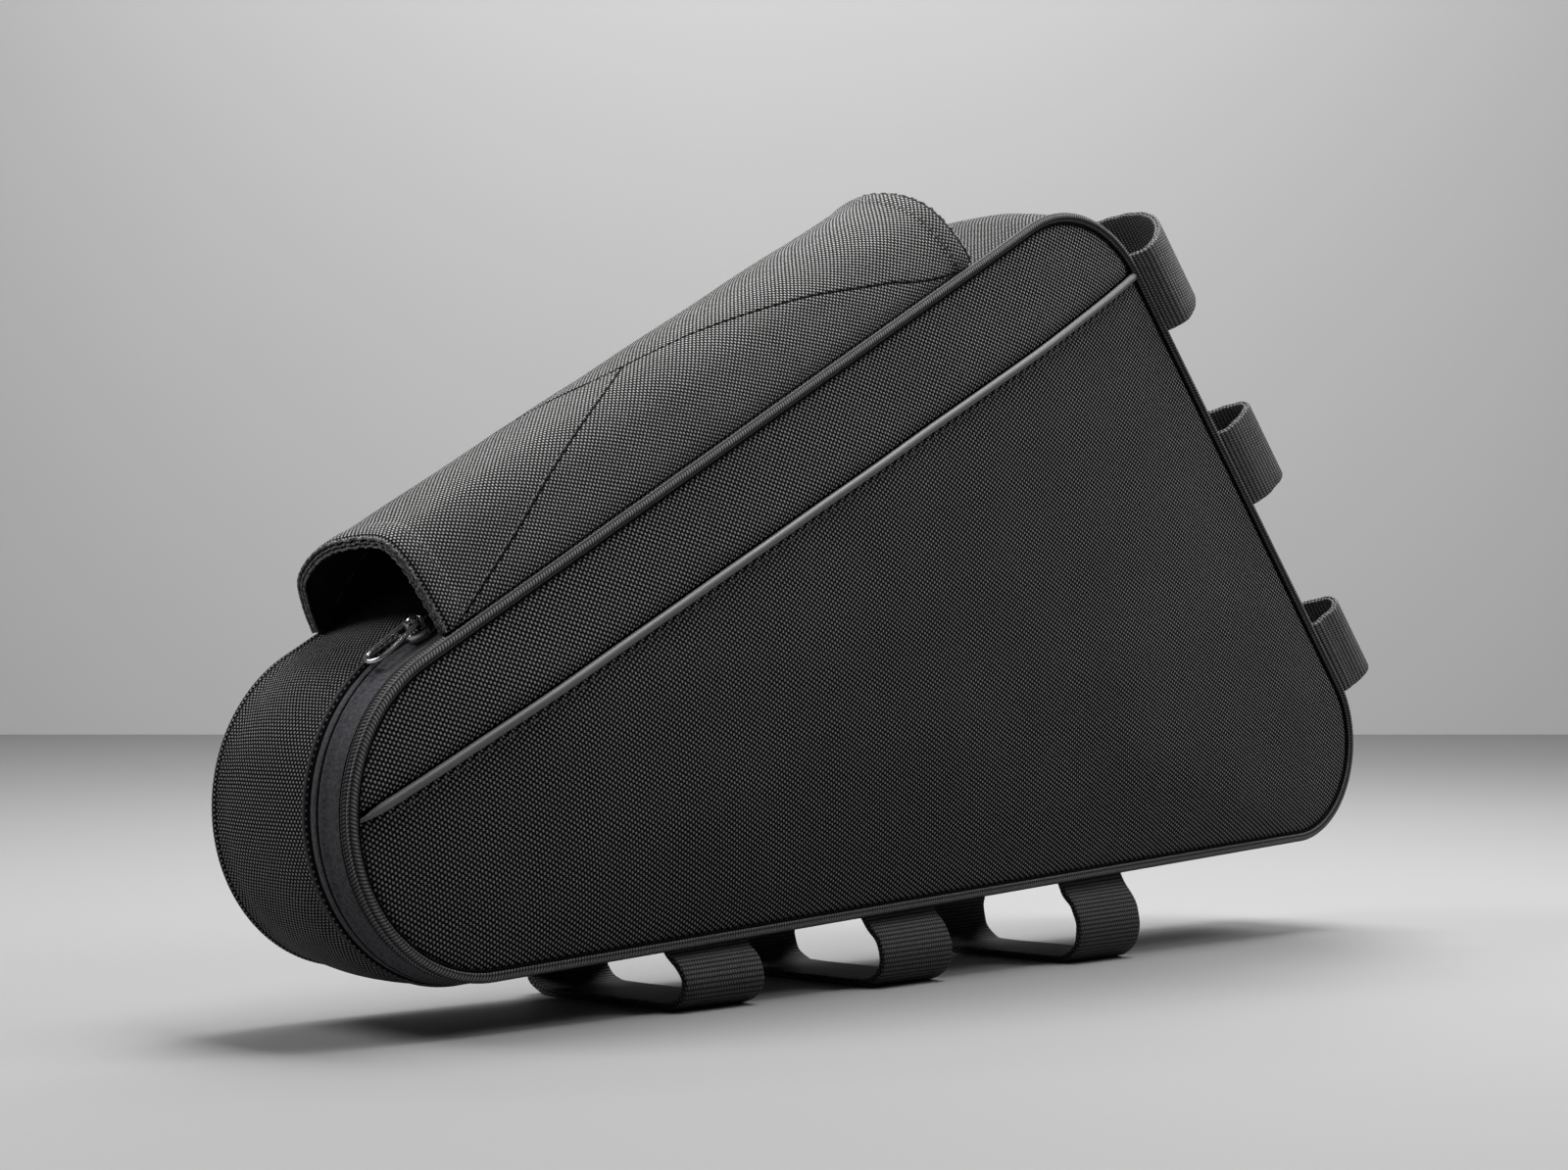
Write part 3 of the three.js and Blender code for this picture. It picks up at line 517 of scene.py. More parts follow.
def canvasFinish(name, spec):
    # A plain weave: raised crossing threads in a staggered grid are painted bright as their glint, and the
    # other set is painted dimmer between them because it glints less.
    spec = {**spec, "bump": 0.0003, "gloss": 0.05}
    finish = Finish(name)
    u, v = finish.cloth()
    wander = (finish.noise(60) - 0.5) * 0.5
    threads = (u + wander) / spec["along"]
    picks = (v + wander) / spec["across"]
    upright = abs((threads * math.pi).sine()) ** 0.7
    level = abs((picks * math.pi).sine()) ** 0.8
    turn = ((picks + threads.floor().modulo(2.0) + 0.5) * math.pi).sine()
    over = (turn * 1.6 + 0.55).above(0.0).below(1.0)
    under = (0.35 - turn * 1.6).above(0.0).below(1.0)
    crown = upright * over
    filling = level * under
    height = crown.above(filling * 0.75)
    paintedGlint = crown.above(filling * spec["cross"])
    uneven = finish.noise(900, 1.0) * 0.5 + 0.75
    broad = finish.noise(14, 3.0) * 0.5 + 0.75
    # the painted glint sets the thread colour
    tone = (paintedGlint ** 3.2) * uneven * broad
    return finish.woven(tone, height, spec, 0.86 - height * 0.22, 0.01)


pipingCloth = {"pitch": 1.05, "lean": 0.42, "middle": 5.5, "thread": 0.19, "gap": 0.002, "bump": 0.00025,
               "gloss": 0.12}


def pipingFinish(name, spec):
    finish = Finish(name)
    u, v = finish.cloth()
    # Strokes that lean both ways from the ridge's middle, as in a braid
    lean = abs(u - spec["middle"]) * spec["lean"]
    stroke = abs(((v / spec["pitch"] + lean) * math.pi).sine()) ** 0.8
    cross = abs(((u - spec["middle"]) * math.pi / 2.2).sine()) * 0.75 + 0.25
    height = stroke * cross
    # Raised strokes are painted lighter as highlight, and the hollows between them as painted shade
    tone = (height ** 1.8) * (finish.noise(700, 1.0) * 0.6 + 0.7)
    return finish.woven(tone, height, spec, 0.85 - height * 0.2)


webbingCloth = {
    "rear": {"rib": 1.3, "dash": 1.0, "thread": 0.24, "gap": 0.004, "bump": 0.0003, "gloss": 0.12},
    # the lower loops get a darker copy of the same webbing, as painted shade under the bag
    "lower": {"rib": 1.3, "dash": 1.0, "thread": 0.1, "gap": 0.003, "bump": 0.0003, "gloss": 0.12},
}


def webbingFinish(name, spec):
    finish = Finish(name)
    u, v = finish.cloth()
    ribs = v / spec["rib"]
    rib = abs((ribs * math.pi).sine()) ** 0.5
    shift = ribs.floor().modulo(2.0) * 0.5
    dash = abs(((u / spec["dash"] + shift) * math.pi).sine()) ** 0.8
    height = rib * (dash * 0.75 + 0.25)
    # Rib crests are painted lighter as highlight, and the grooves between them as painted shade
    tone = (height ** 2.2) * (finish.noise(800, 1.0) * 0.7 + 0.65)
    return finish.woven(tone, height, spec, 0.8 - height * 0.2, 0.01)


tapeCloth = {"pitch": 0.9, "thread": 0.085, "gap": 0.01, "bump": 0.0002}


def tapeFinish(name, spec):
    finish = Finish(name)
    u, v = finish.cloth()
    twill = abs(((u + v) * math.pi / spec["pitch"]).sine())
    fleck = ((finish.noise(1100, 2.0) - 0.5) * 2.2 + 0.5).above(0.0).below(1.0)
    height = twill * 0.4 + fleck * 0.6
    tone = height * (finish.noise(25, 2.0) * 0.4 + 0.8)
    plum = lambda level: (level, level * 0.95, level * 1.08, 1)
    return finish.surface({
        "Base Color": finish.blend(tone.below(1.0), plum(spec["gap"]), plum(spec["thread"])),
        "Roughness": 0.9 - height * 0.12,
        "Normal": finish.bump(height, spec["bump"], 0.5),
        "Specular IOR Level": 0.15,
        "Sheen Weight": 0.04,
    })


plain = {
    "coil": {"name": "zipCoilNylon", "level": 0.012, "roughness": 0.42},
    "film": {"name": "reflectiveFilm", "level": 0.1, "warmth": -0.01, "roughness": 0.5, "grain": 0.00001,
             "scale": 60},
    "metal": {"name": "gunmetalPlate", "level": 0.4, "roughness": 0.2, "grain": 0.000004, "scale": 700,
              "metallic": 1.0, "gloss": 0.6, "coat": 0.4},
    "wire": {"name": "pullerWire", "level": 0.6, "roughness": 0.22, "grain": 0.000004, "scale": 700,
             "metallic": 1.0, "gloss": 0.6, "coat": 0.4},
    "thread": {"name": "sewingThread", "level": 0.13, "roughness": 0.55, "grain": 0.00005, "scale": 2500,
               "gloss": 0.2},
    "selvedge": {"name": "foldSelvedge", "level": 0.055, "roughness": 0.8, "grain": 0.0002, "scale": 1500,
                 "gloss": 0.15},
    # near-black cords laid in gaps, creases and seams as painted shade
    "shade": {"name": "paintedShadeCords", "level": 0.004, "roughness": 0.9, "grain": 0.00005, "scale": 1500,
              "gloss": 0.05},
    "lining": {"name": "sleeveLining", "level": 0.012, "roughness": 0.95, "grain": 0.0004, "scale": 700,
               "gloss": 0.1},
}


def plainFinish(spec):
    finish = Finish(spec["name"])
    fleck = finish.noise(spec.get("scale", 1200), 2.0)
    broad = finish.noise(35, 3.0)
    dim, full = [grey(spec["level"] * share, spec.get("warmth", 0.0)) for share in (0.78, 1)]
    return finish.surface({
        "Base Color": finish.blend(broad * 0.6 + fleck * 0.4, dim, full),
        "Roughness": (fleck * 0.12 + broad * 0.1 + spec["roughness"] - 0.11).above(0.02),
        "Normal": finish.bump(fleck, spec.get("grain", 0.00004), 0.5),
        "Metallic": spec.get("metallic", 0.0),
        "Specular IOR Level": spec.get("gloss", 0.5),
        "Coat Weight": spec.get("coat", 0.0),
    })


hemFuzz = {"gap": 0.03, "thread": 0.6, "bump": 0.0004, "gloss": 0.12}


def fuzzFinish(name, spec):
    # Brushed binding: short fibres, with painted glints as bright specks where they catch the light here and
    # there.
    finish = Finish(name)
    fibre = finish.noise(1300, 3.0, 0.7)
    tone = ((fibre - 0.3).above(0.0) * 2.1) ** 2.0
    return finish.woven(tone, fibre, spec, 0.9 - fibre * 0.1)


skins = {
    "hem": fuzzFinish("hemBinding", hemFuzz),
    "canvas": canvasFinish("sleeveCanvas", canvas["sleeve"]),
    "upper": canvasFinish("panelCanvas", canvas["upper"]),
    "pocket": canvasFinish("pocketCanvas", canvas["pocket"]),
    "gusset": canvasFinish("gussetCanvas", canvas["gusset"]),
    "piping": pipingFinish("pipingTwill", pipingCloth),
    "rearWebbing": webbingFinish("rearWebbing", webbingCloth["rear"]),
    "shadedLowerWebbing": webbingFinish("shadedLowerWebbing", webbingCloth["lower"]),
    "tape": tapeFinish("zipTapeCloth", tapeCloth),
}
skins.update({key: plainFinish(spec) for key, spec in plain.items()})
print("finishes made")

# How the cloth lies

relief = {
    "dent": 0.3,
    "nearSeed": 0.7,
    "farSeed": 2.3,
    "edgeRoll": 1.3,
    "edgeReach": 1.6,
    "valley": 1.2,     # beside the light piping
    "valleyReach": 3.2,
}


def undulate(a, b, size, seed):
    # A few slow waves at fixed phases, so the cloth is never quite even.
    total = np.zeros(np.broadcast(a, b).shape)
    waves = [(61, 0.35, 0.4), (83, 1.9, 2.1), (47, 2.8, 4.0), (38, 1.1, 5.2), (120, 2.3, 1.3)]
    for number, (length, angle, phase) in enumerate(waves):
        along = a * math.cos(angle + seed) + b * math.sin(angle + seed)
        total = total + np.sin(2 * math.pi * along / length + phase + seed * (number + 1))
    return size * total / len(waves) * 1.6


rimPoint, rimNormal = outline.at(aroundEdge(1800))
rimInset = 0.7     # the cloth tucks under the piping
rim = rimPoint - rimNormal * rimInset
rimAngle = np.arctan2(rim[:, 1] - outline.centre[1], rim[:, 0] - outline.centre[0])
rimReach = np.linalg.norm(rim - outline.centre, axis=1)


def rimReachAt(angle):
    return np.interp(angle, rimAngle, rimReach, period=2 * math.pi)


def ringShare(flat):
    away = flat - outline.centre
    angle = np.arctan2(away[..., 1], away[..., 0])
    return np.clip(np.linalg.norm(away, axis=-1) / rimReachAt(angle), 0, 1), angle


def rimDistance(flat):
    points = flat.reshape(-1, 2)
    best = np.full(len(points), 1e9)
    for start in range(0, len(rim), 150):
        gap = points[:, None] - rim[None, start:start + 150]
        best = np.minimum(best, np.einsum("ijk,ijk->ij", gap, gap).min(1))
    return np.sqrt(best).reshape(flat.shape[:-1])


def crownAt(ring):
    return bag["crown"] * (1 - ring ** bag["crownPower"])


def sidePlace(flat, side, height):
    # Points that stand off the bag's near (-1) or far (1) side.
    depth = np.broadcast_to(side * (bag["depth"] / 2 + height), flat.shape[:-1])
    return np.stack([flat[..., 0], depth, flat[..., 1]], -1)


puffGrid = {"rays": 108, "rings": 16, "hole": 0.02, "pressure": 3.2, "slack": 0.002}


def makePuff(side):
    # The side panel settled as one sheet: a field of depths over angle and ring share.
    angles = np.linspace(-math.pi, math.pi, puffGrid["rays"], endpoint=False)
    rings = np.linspace(puffGrid["hole"], 1, puffGrid["rings"])
    away = np.stack([np.cos(angles), np.sin(angles)], -1) * rimReachAt(angles)[:, None]
    flat = outline.centre + away[:, None] * rings[None, :, None]
    grid = sidePlace(flat, side, crownAt(rings))
    pinned = np.zeros(flat.shape[:2], bool)
    pinned[:, -1] = True
    shift = settle("settleSide", grid, pinned, puffGrid["pressure"] * side, puffGrid["slack"], True)
    return shift[..., 1] * side


def puffAt(field, ring, angle):
    rays, rings = field.shape
    row = (angle + math.pi) / (2 * math.pi) * rays
    column = (ring - puffGrid["hole"]) / (1 - puffGrid["hole"]) * (rings - 1)
    return fieldAt(field, row, np.clip(column, 0, rings - 1.0001))


nearPuff = makePuff(-1)
farPuff = makePuff(1)
print("side panels settled")

light = {"start": 1.8, "angle": 27.7, "drop": 2.0, "radius": 1.35, "proud": 0.5, "endGap": 0.8}
noseCentre = noseArc[2] + headingOf(noseArc[3] - math.pi / 2) * noseArc[5]
lightStart = noseCentre + np.array([light["start"] - bag["noseRadius"], -light["drop"]])
lightAlong = headingOf(math.radians(light["angle"]))
lightAcross = np.array([-lightAlong[1], lightAlong[0]])


def sideHeight(flat, puff, seed, seam):
    # How far a side panel stands out beyond the edge piping's plane.
    ring, angle = ringShare(flat)
    height = crownAt(ring) + puffAt(puff, ring, angle)
    distance = rimDistance(flat)
    inward = smoothStep(0, 30, distance)
    height += undulate(flat[..., 0], flat[..., 1], relief["dent"], seed) * inward
    height -= relief["edgeRoll"] * bell(distance, relief["edgeReach"])
    if seam:
        away = (flat - lightStart) @ lightAcross
        height -= relief["valley"] * bell(away, relief["valleyReach"])
    return height


def nearHeight(flat):
    return sideHeight(flat, nearPuff, relief["nearSeed"], True)


def evenEnds(rows, reach, ends):
    # Rows between 0 and reach: fixed steps close to both ends, even ones between.
    steps = np.array(ends)
    scale = np.minimum(1, reach / (4 * steps[-1]))
    near = steps[None] * scale[:, None]
    share = np.linspace(0, 1, rows + 2)[1:-1]
    middle = near[:, -1:] + (reach[:, None] - 2 * near[:, -1:]) * share[None]
    return np.concatenate([near, middle, reach[:, None] - near[:, ::-1]], 1)


panel = {
    "columns": 230,
    "rows": 46,
    "ends": (0, 0.4, 0.9, 1.5, 2.3, 3.4, 4.8, 6.6, 9.0),
    "seamGap": 1.5,
    "pocketGrain": 10.0,
    "upperGrain": 6.0,
    "foldRise": 0.55,     # the pocket's folded edge
    "foldAway": 2.6,
    "foldReach": 0.8,
    "farRays": 420,
    "farRim": (1, 0.997, 0.993, 0.987, 0.98, 0.97, 0.955),
    "farGrain": 28.0,
}


def nearHalf(part):
    # Columns square to the light piping, above it (1) or below it (-1).
    across = (rim - lightStart) @ lightAcross
    along = (rim - lightStart) @ lightAlong
    first, last = np.argmin(along), np.argmax(along)
    order = np.roll(np.arange(len(rim)), -first)
    split = (last - first) % len(rim)
    upper, lower = order[:split + 1], order[split:][::-1]
    if across[upper].mean() < across[lower].mean():
        upper, lower = lower, upper
    chain = lambda pick: (along[pick][np.argsort(along[pick])], across[pick][np.argsort(along[pick])])
    gap = panel["seamGap"]
    spread = 0.5 - 0.5 * np.cos(np.linspace(0, math.pi, panel["columns"]))
    spread = 0.35 * spread + 0.65 * np.linspace(0, 1, panel["columns"])
    u = along.min() + 0.05 + (along.max() - along.min() - 0.1) * spread
    high = np.interp(u, *chain(upper))
    low = np.interp(u, *chain(lower))
    low, high = (np.maximum(low, gap), high) if part > 0 else (low, np.minimum(high, -gap))
    keep = high - low > 0.12
    u, high, low = u[keep], high[keep], low[keep]
    seam = low if part > 0 else high
    v = seam[:, None] + part * evenEnds(panel["rows"], high - low, panel["ends"])
    u = np.broadcast_to(u[:, None], v.shape)
    flat = lightStart + u[..., None] * lightAlong + v[..., None] * lightAcross
    return flat, u, v


def nearPanel(name, part, material, slot, node):
    flat, u, v = nearHalf(part)
    height = nearHeight(flat)
    grain = panel["upperGrain"]
    if part < 0:
        away = np.abs((flat - lightStart) @ lightAcross)
        height += panel["foldRise"] * bell(away - panel["foldAway"], panel["foldReach"])
        grain = light["angle"] - panel["pocketGrain"]
    outer = sidePlace(flat, -1, height)
    inner = outer + np.array([0, bag["wall"], 0])
    piece = sheetShell(outer, inner, turned(u, v, grain)).build(name, material, lining=skins["lining"])
    finishPiece(piece, slot, [node])


nearPanel("upperPanelCloth", 1, skins["upper"], "canvas", "near_panel_upper")
nearPanel("lowerPanelCloth", -1, skins["pocket"], "pocket_canvas", "near_panel_lower")


def farPanel():
    point, normal = outline.at(aroundEdge(panel["farRays"]))
    edge = point - normal * rimInset
    steps = np.concatenate([panel["farRim"], np.linspace(0.93, 0.02, 34)])
    flat = outline.centre + (edge - outline.centre)[:, None] * steps[None, :, None]
    outer = sidePlace(flat, 1, sideHeight(flat, farPuff, relief["farSeed"], False))
    inner = outer - np.array([0, bag["wall"], 0])
    uv = turned(flat[..., 0], flat[..., 1], -panel["farGrain"])
    uv = np.concatenate([uv, uv[:1]])
    shell = Shell()
    top = shell.grid(outer, uv, ringRows=True)
    low = shell.grid(inner, uv, ringRows=True)
    shell.strip(np.append(top[:, 0], top[0, 0]), np.append(low[:, 0], low[0, 0]), uv[:, 0])
    shell.cap(top[:, -1], uv[:-1, -1])
    shell.cap(low[:, -1], uv[:-1, -1])
    piece = shell.build("farPanelCloth", skins["upper"])
    finishPiece(piece, "canvas", ["far_panel"])


farPanel()
print("side panels made")

# Gusset and zip

zipSize = {
    "inset": 5.0,
    "width": 10.2,
    "topRun": 24.0,
    "lowerRun": 46.0,
    "groove": 1.3,
    "line": 11.4,
    "tapeTop": -0.1,
    "lip": 0.5,
    "dip": 0.7,
    "ramp": 0.12,
}
gusset = {
    "step": 2.2,     # between its rows
    "nearDeeps": (1.0, 1.5, 2.0, 2.5, 3.0),
    "lips": (-1.6, -1.0, -0.55, -0.25, -0.05, 0.0, 0.12, 0.3),
    "farDeeps": (58.2, 58.9, 59.3),
    "wave": 0.3,
    "waveSeed": 4.1,
    "edgeDip": 0.8,
    "farRise": 1.1,
    "wall": 2.4,
}
tape = {
    "near": (3.7, 11.24),     # from the edge, as far as the closing line and on from it
    "far": (11.56, 14.45),
    "ridge": 0.62,
    "turned": 0.6,
    "ripple": 0.05,
    "wall": 0.7,
}
coil = {"pitch": 0.62, "length": 2.2, "radius": 0.26, "up": 0.02}
zipFrom = outline.total - noseArc[1] - zipSize["lowerRun"]
zipTo = outline.total + zipSize["topRun"]


def zipMask(run):
    # 1 along the zip, 0 elsewhere, with short ramps.
    along = np.mod(run - zipFrom, outline.total)
    length = zipTo - zipFrom
    return smoothStep(-0.4, 0.6, along) * (1 - smoothStep(length - 0.6, length + 0.4, along))


def makeGusset():
    runs = aroundEdge(int(outline.total / gusset["step"]))
    ends = np.array([zipFrom, zipTo]) % outline.total
    extra = (ends[:, None] + np.array([-0.4, -0.1, 0.1, 0.3, 0.6])[None]).ravel()
    runs = np.unique(np.concatenate([runs, np.mod(extra, outline.total)]))
    left, right = zipSize["inset"], zipSize["inset"] + zipSize["width"]
    near = [left + lip for lip in gusset["lips"]]
    far = [right - lip for lip in gusset["lips"][::-1]]
    middle = np.linspace(left + 0.8, right - 0.8, 9)
    rest = np.linspace(right + 2.2, 57.4, 26)
    deeps = np.concatenate([gusset["nearDeeps"], near, middle, far, rest, gusset["farDeeps"]])
    run, deep = np.meshgrid(runs, deeps, indexing="ij")
    mask = zipMask(run)
    ramp = zipSize["ramp"]
    inside = smoothStep(left - ramp, left + ramp, deep) * (1 - smoothStep(right - ramp, right + ramp, deep))
    lip = bell(deep - right - 0.75, 0.6)
    strip = smoothStep(2.9, 3.6, deep) * (deep < left + ramp)     # it dips under the near tape
    edge = bell(deep - 1.2, 1.1)
    hem = zipSize["lip"] * lip * (1 - inside)
    out = bulgeAt(deep) + mask * (hem - zipSize["groove"] * inside - zipSize["dip"] * strip)
    waves = undulate(run * 0.7, deep * 1.6, gusset["wave"], gusset["waveSeed"])
    out = out + waves * smoothStep(17, 24, deep) * (1 - smoothStep(50, 56, deep)) - gusset["edgeDip"] * edge
    # It rises on to the far piping
    farEdge = smoothStep(53, 57, deep) * np.maximum(0, gusset["farRise"] - bulgeAt(deep))
    out = out + farEdge - 0.25 * smoothStep(58.6, 59.3, deep)
    outer = place(run, deep, out)
    inner = place(run, deep, np.minimum(out, bulgeAt(deep)) - gusset["wall"])
    whole = np.append(runs, runs[0] + outline.total)
    b, a = np.meshgrid(deeps, whole)
    shell = sheetShell(outer, inner, np.stack([a, b], -1), ring=True)
    piece = shell.build("gussetCloth", skins["gusset"], lining=skins["lining"])
    finishPiece(piece, "canvas", ["gusset"])


makeGusset()


def makeTape(name, span, node):
    # One half of the zip's tape; its inner edge turns up over the coil that is sewn under it.
    runs = np.arange(zipFrom + 0.35, zipTo - 0.35, 0.9)
    deeps = np.linspace(*span, 17)
    run, deep = np.meshgrid(runs, deeps, indexing="ij")
    away = np.abs(deep - zipSize["line"])
    ridge = tape["ridge"] * (1 - smoothStep(1.0, 3.0, away))
    hem = tape["turned"] * bell(away - 0.12, 0.2)
    ripple = tape["ripple"] * np.sin(2 * math.pi * run / 1.8) * bell(away - 1.5, 0.8)
    level = zipSize["tapeTop"] + ridge - hem + ripple
    outer = placeOver(run, deep, level)
    inner = placeOver(run, deep, level - tape["wall"])
    shell = sheetShell(outer, inner, np.stack([run, deep], -1))
    finishPiece(shell.build(name, skins["tape"], lining=skins["tape"]), "zip_tape", [node])


makeTape("zipTapeNear", tape["near"], "zip_tape_near")
makeTape("zipTapeFar", tape["far"], "zip_tape_far")


def capsules(name, centres, along, up, length, radius, material):
    # Many short threads or teeth in one mesh, each a rounded bar on its surface.
    along = unit(along)
    side = unit(np.cross(up, along))
    stations = np.array([-0.5, -0.36, 0.0, 0.36, 0.5])
    widths = np.array([0.45, 0.95, 1.0, 0.95, 0.45]) * radius
    heights = np.array([-0.9, 0.1, 0.3, 0.1, -0.9]) * radius
    angles = np.linspace(0, 2 * math.pi, 6, endpoint=False)
    middle = (centres[:, None] + along[:, None] * (stations * length)[None, :, None]
              + up[:, None] * heights[None, :, None])
    ring = (np.cos(angles)[None, None, :, None] * side[:, None, None]
            + np.sin(angles)[None, None, :, None] * up[:, None, None])
    points = middle[:, :, None] + ring * widths[None, :, None, None]
    shell = Shell()
    index = shell.addPoints(points)
    index = np.concatenate([index, index[:, :, :1]], 2)
    quads = np.stack([index[:, :-1, :-1], index[:, 1:, :-1], index[:, 1:, 1:], index[:, :-1, 1:]], -1)
    shell.faces = quads.reshape(-1, 4).tolist()
    for row in (0, -1):
        shell.faces.extend(index[:, row, :-1].tolist())
    corners = sum(len(face) for face in shell.faces)
    shell.cloth = np.zeros((corners, 2))
    return shell.build(name, material, 60)


def makeCoil():
    runs = np.arange(zipFrom + 3, zipTo - 3, coil["pitch"])
    middle, level = zipSize["line"], zipSize["tapeTop"] + coil["up"]
    here = placeOver(runs, middle, level)
    ahead = placeOver(runs + 0.5, middle, 0) - placeOver(runs - 0.5, middle, 0)
    across = placeOver(runs, middle + 1, level) - here
    up = unit(np.cross(ahead, across))
    piece = capsules("zipCoilTurns", here, across, up, coil["length"], coil["radius"], skins["coil"])
    finishPiece(piece, "zip_coil", ["zip_coil"])


makeCoil()


def layTube(name, runs, deep, level, radius, skin, slot, sides=8, closed=False, nodes=()):
    # A tube laid along the bag's edge; level is how far out its middle lies.
    shell = tubeShell(place(runs, deep, level), radius, sides, closed, (0, 1, 0))
    finishPiece(shell.build(name, skins[skin]), slot, nodes)


# Near-black cords laid as painted shade where the tapes meet, where the folded cloth begins and where the
# tape leaves the braid:
# each one's depth, its level above the gusset and its radius
zipShadeCords = {"closing": (11.4, 0.3, 0.2), "fold": (14.85, 0.0, 0.46), "edge": (3.6, 0.1, 0.42)}
foldThread = {"deep": 16.15, "level": 0.4, "radius": 0.55}


def makeZipCords():
    runs = np.arange(zipFrom + 0.6, zipTo - 0.6, 1.1)
    for name, (deep, level, radius) in zipShadeCords.items():
        layTube(f"{name}Line", runs, deep, bulgeAt(deep) + level, radius, "shade", "zip_tape")
    # The twisted thread that holds the folded cloth beside the zip
    runs = np.arange(zipFrom + 0.2, zipTo - 0.2, 1.1)
    level = bulgeAt(foldThread["deep"]) + foldThread["level"]
    layTube("zipFoldThread", runs, foldThread["deep"], level, foldThread["radius"], "selvedge", "canvas", 10)


makeZipCords()

# Piping

edgeRoll = {"deep": 2.35, "radius": 1.0, "level": 0.1, "short": 13.0, "ramp": 8.0}
creases = {"side": (-0.45, -1.8, 0.42), "gusset": (1.85, 0.0, 0.36)}     # depth, level and radius


def makePiping():
    whole = aroundEdge(640)
    for name, deep, skin, node in (("nearPiping", 0.0, "piping", "near_piping"),
                                   ("farPiping", bag["depth"], "gusset", "far_piping")):
        layTube(name, whole, deep, 0.0, bag["pipingRadius"], skin, "piping", 16, True, [node])
    # The braid's second ridge, which runs beside the piping along the zip
    runs = np.arange(zipFrom - 1.0, zipTo - edgeRoll["short"], 1.1)
    sunk = edgeRoll["radius"] * smoothStep(edgeRoll["ramp"], 0, runs - runs[0])
    level = bulgeAt(edgeRoll["deep"]) - sunk + edgeRoll["level"]
    layTube("zipEdgeRoll", runs, edgeRoll["deep"], level, edgeRoll["radius"], "piping", "piping", 16)
    # Near-black cords on both sides of the near piping, as painted shade in its creases
    whole = aroundEdge(480)
    for name, (deep, out, radius) in creases.items():
        layTube(f"{name}Crease", whole, deep, out, radius, "shade", "piping", 6, True)


makePiping()


def lightReach():
    along = (rim - lightStart) @ lightAlong
    across = (rim - lightStart) @ lightAcross
    behind = along > 100
    crossing = np.argmin(np.abs(across) + np.where(behind, 0, 1e6))
    return along[crossing]


lightLength = lightReach()


def makeLightPiping():
    runs = np.linspace(0.4, lightLength - light["endGap"], 260)
    flat = lightStart + runs[:, None] * lightAlong
    path = sidePlace(flat, -1, nearHeight(flat) + relief["valley"] + light["proud"])
    taper = smoothStep(-3, 9, runs) * 0.85 + 0.15
    shell = tubeShell(path, light["radius"] * taper, 18, False, (0, 1, 0))
    finishPiece(shell.build("lightPiping", skins["film"]), "reflective", ["reflective_piping"])


makeLightPiping()
print("gusset, zip and piping made")

# Sleeve

sleeve = {
    "length": 240.0,
    "start": 12.4,
    "frontHeight": 30.7,
    "rearHeight": 28.3,
    "wall": 2.4,
    "overhang": 1.9,
    "lap": 0.1,
    "hem": 8.0,
    "hemRise": 0.45,
    "roll": 0.4,
    "rollReach": 0.9,
    "wave": 0.2,
    "pressure": 1.6,
    "slack": 0.001,
    "archLength": 100.0,
    "rows": 84,
    "columns": 30,
    "ends": (0, 0.4, 0.9, 1.6, 2.5, 3.8, 5.5, 7.4, 7.9, 8.3, 9.2),
    "foldUnder": 1.3,
    "nearTuck": 0.010,
    "farTuck": 0.040,
}
frontDeep = (0.050, 0.073, 0.102, 0.147, 0.213, 0.343, 0.532, 0.657, 0.783, 0.908, 0.980, 1.020)
frontUp = (0.195, 0.425, 0.665, 0.848, 0.965, 1.000, 0.975, 0.930, 0.838, 0.694, 0.548, 0.296)
rearDeep = (0.050, 0.098, 0.182, 0.288, 0.410, 0.560, 0.680, 0.770, 0.860, 0.930, 0.985, 1.022)
rearUp = (0.195, 0.455, 0.725, 0.880, 0.967, 1.000, 0.968, 0.905, 0.785, 0.620, 0.430, 0.250)


class Route:
    # A smooth curve through points across the bag's edge.
    def __init__(self, points):
        self.points = np.asarray(points, float)

    def at(self, share):
        share = np.asarray(share, float)
        last = len(self.points) - 1
        spot = np.clip(share, 0, 1) * last
        first = np.minimum(np.floor(spot).astype(int), last)
        t = (spot - first)[..., None]
        pick = lambda step: self.points[np.clip(first + step, 0, last)]
        before, here, after, later = pick(-1), pick(0), pick(1), pick(2)
        return smoothCurve(here, after, (after - before) * 0.5, (later - here) * 0.5, t)

    def heading(self, share):
        share = np.asarray(share, float)
        return self.at(np.minimum(share + 1e-4, 1)) - self.at(np.maximum(share - 1e-4, 0))


def seatAt(deep):
    # How far out the gusset and the two pipings reach, with the gap that rests on them.
    radius = bag["pipingRadius"] + bag["gap"]
    seat = np.zeros(np.shape(deep))
    for middle in (0, bag["depth"]):
        seat = np.maximum(seat, np.sqrt(np.maximum(0, radius * radius - (deep - middle) ** 2)))
    inside = (deep > 0) & (deep < bag["depth"])
    return np.where(inside, np.maximum(seat, bulgeAt(deep) + bag["gap"]), seat)


def overSeat(*faces):
    # How far the faces have to be lifted to clear what they rest on.
    short = [seatAt(face[..., 0]) - face[..., 1] for face in faces]
    return np.maximum(0, np.maximum(*short))


def sleeveRoute(deeps, ups, height):
    nearFoot = (zipSize["inset"] - sleeve["wall"] + sleeve["lap"], bulgeAt(zipSize["inset"]) + bag["gap"])
    farFoot = (bag["depth"] + sleeve["overhang"], bag["pipingRadius"] + bag["gap"])
    middle = [(deep * bag["depth"], up * height) for deep, up in zip(deeps, ups)]
    return Route([nearFoot, *middle, farFoot])


sleeveFront = sleeveRoute(frontDeep, frontUp, sleeve["frontHeight"])
sleeveRear = sleeveRoute(rearDeep, rearUp, sleeve["rearHeight"])


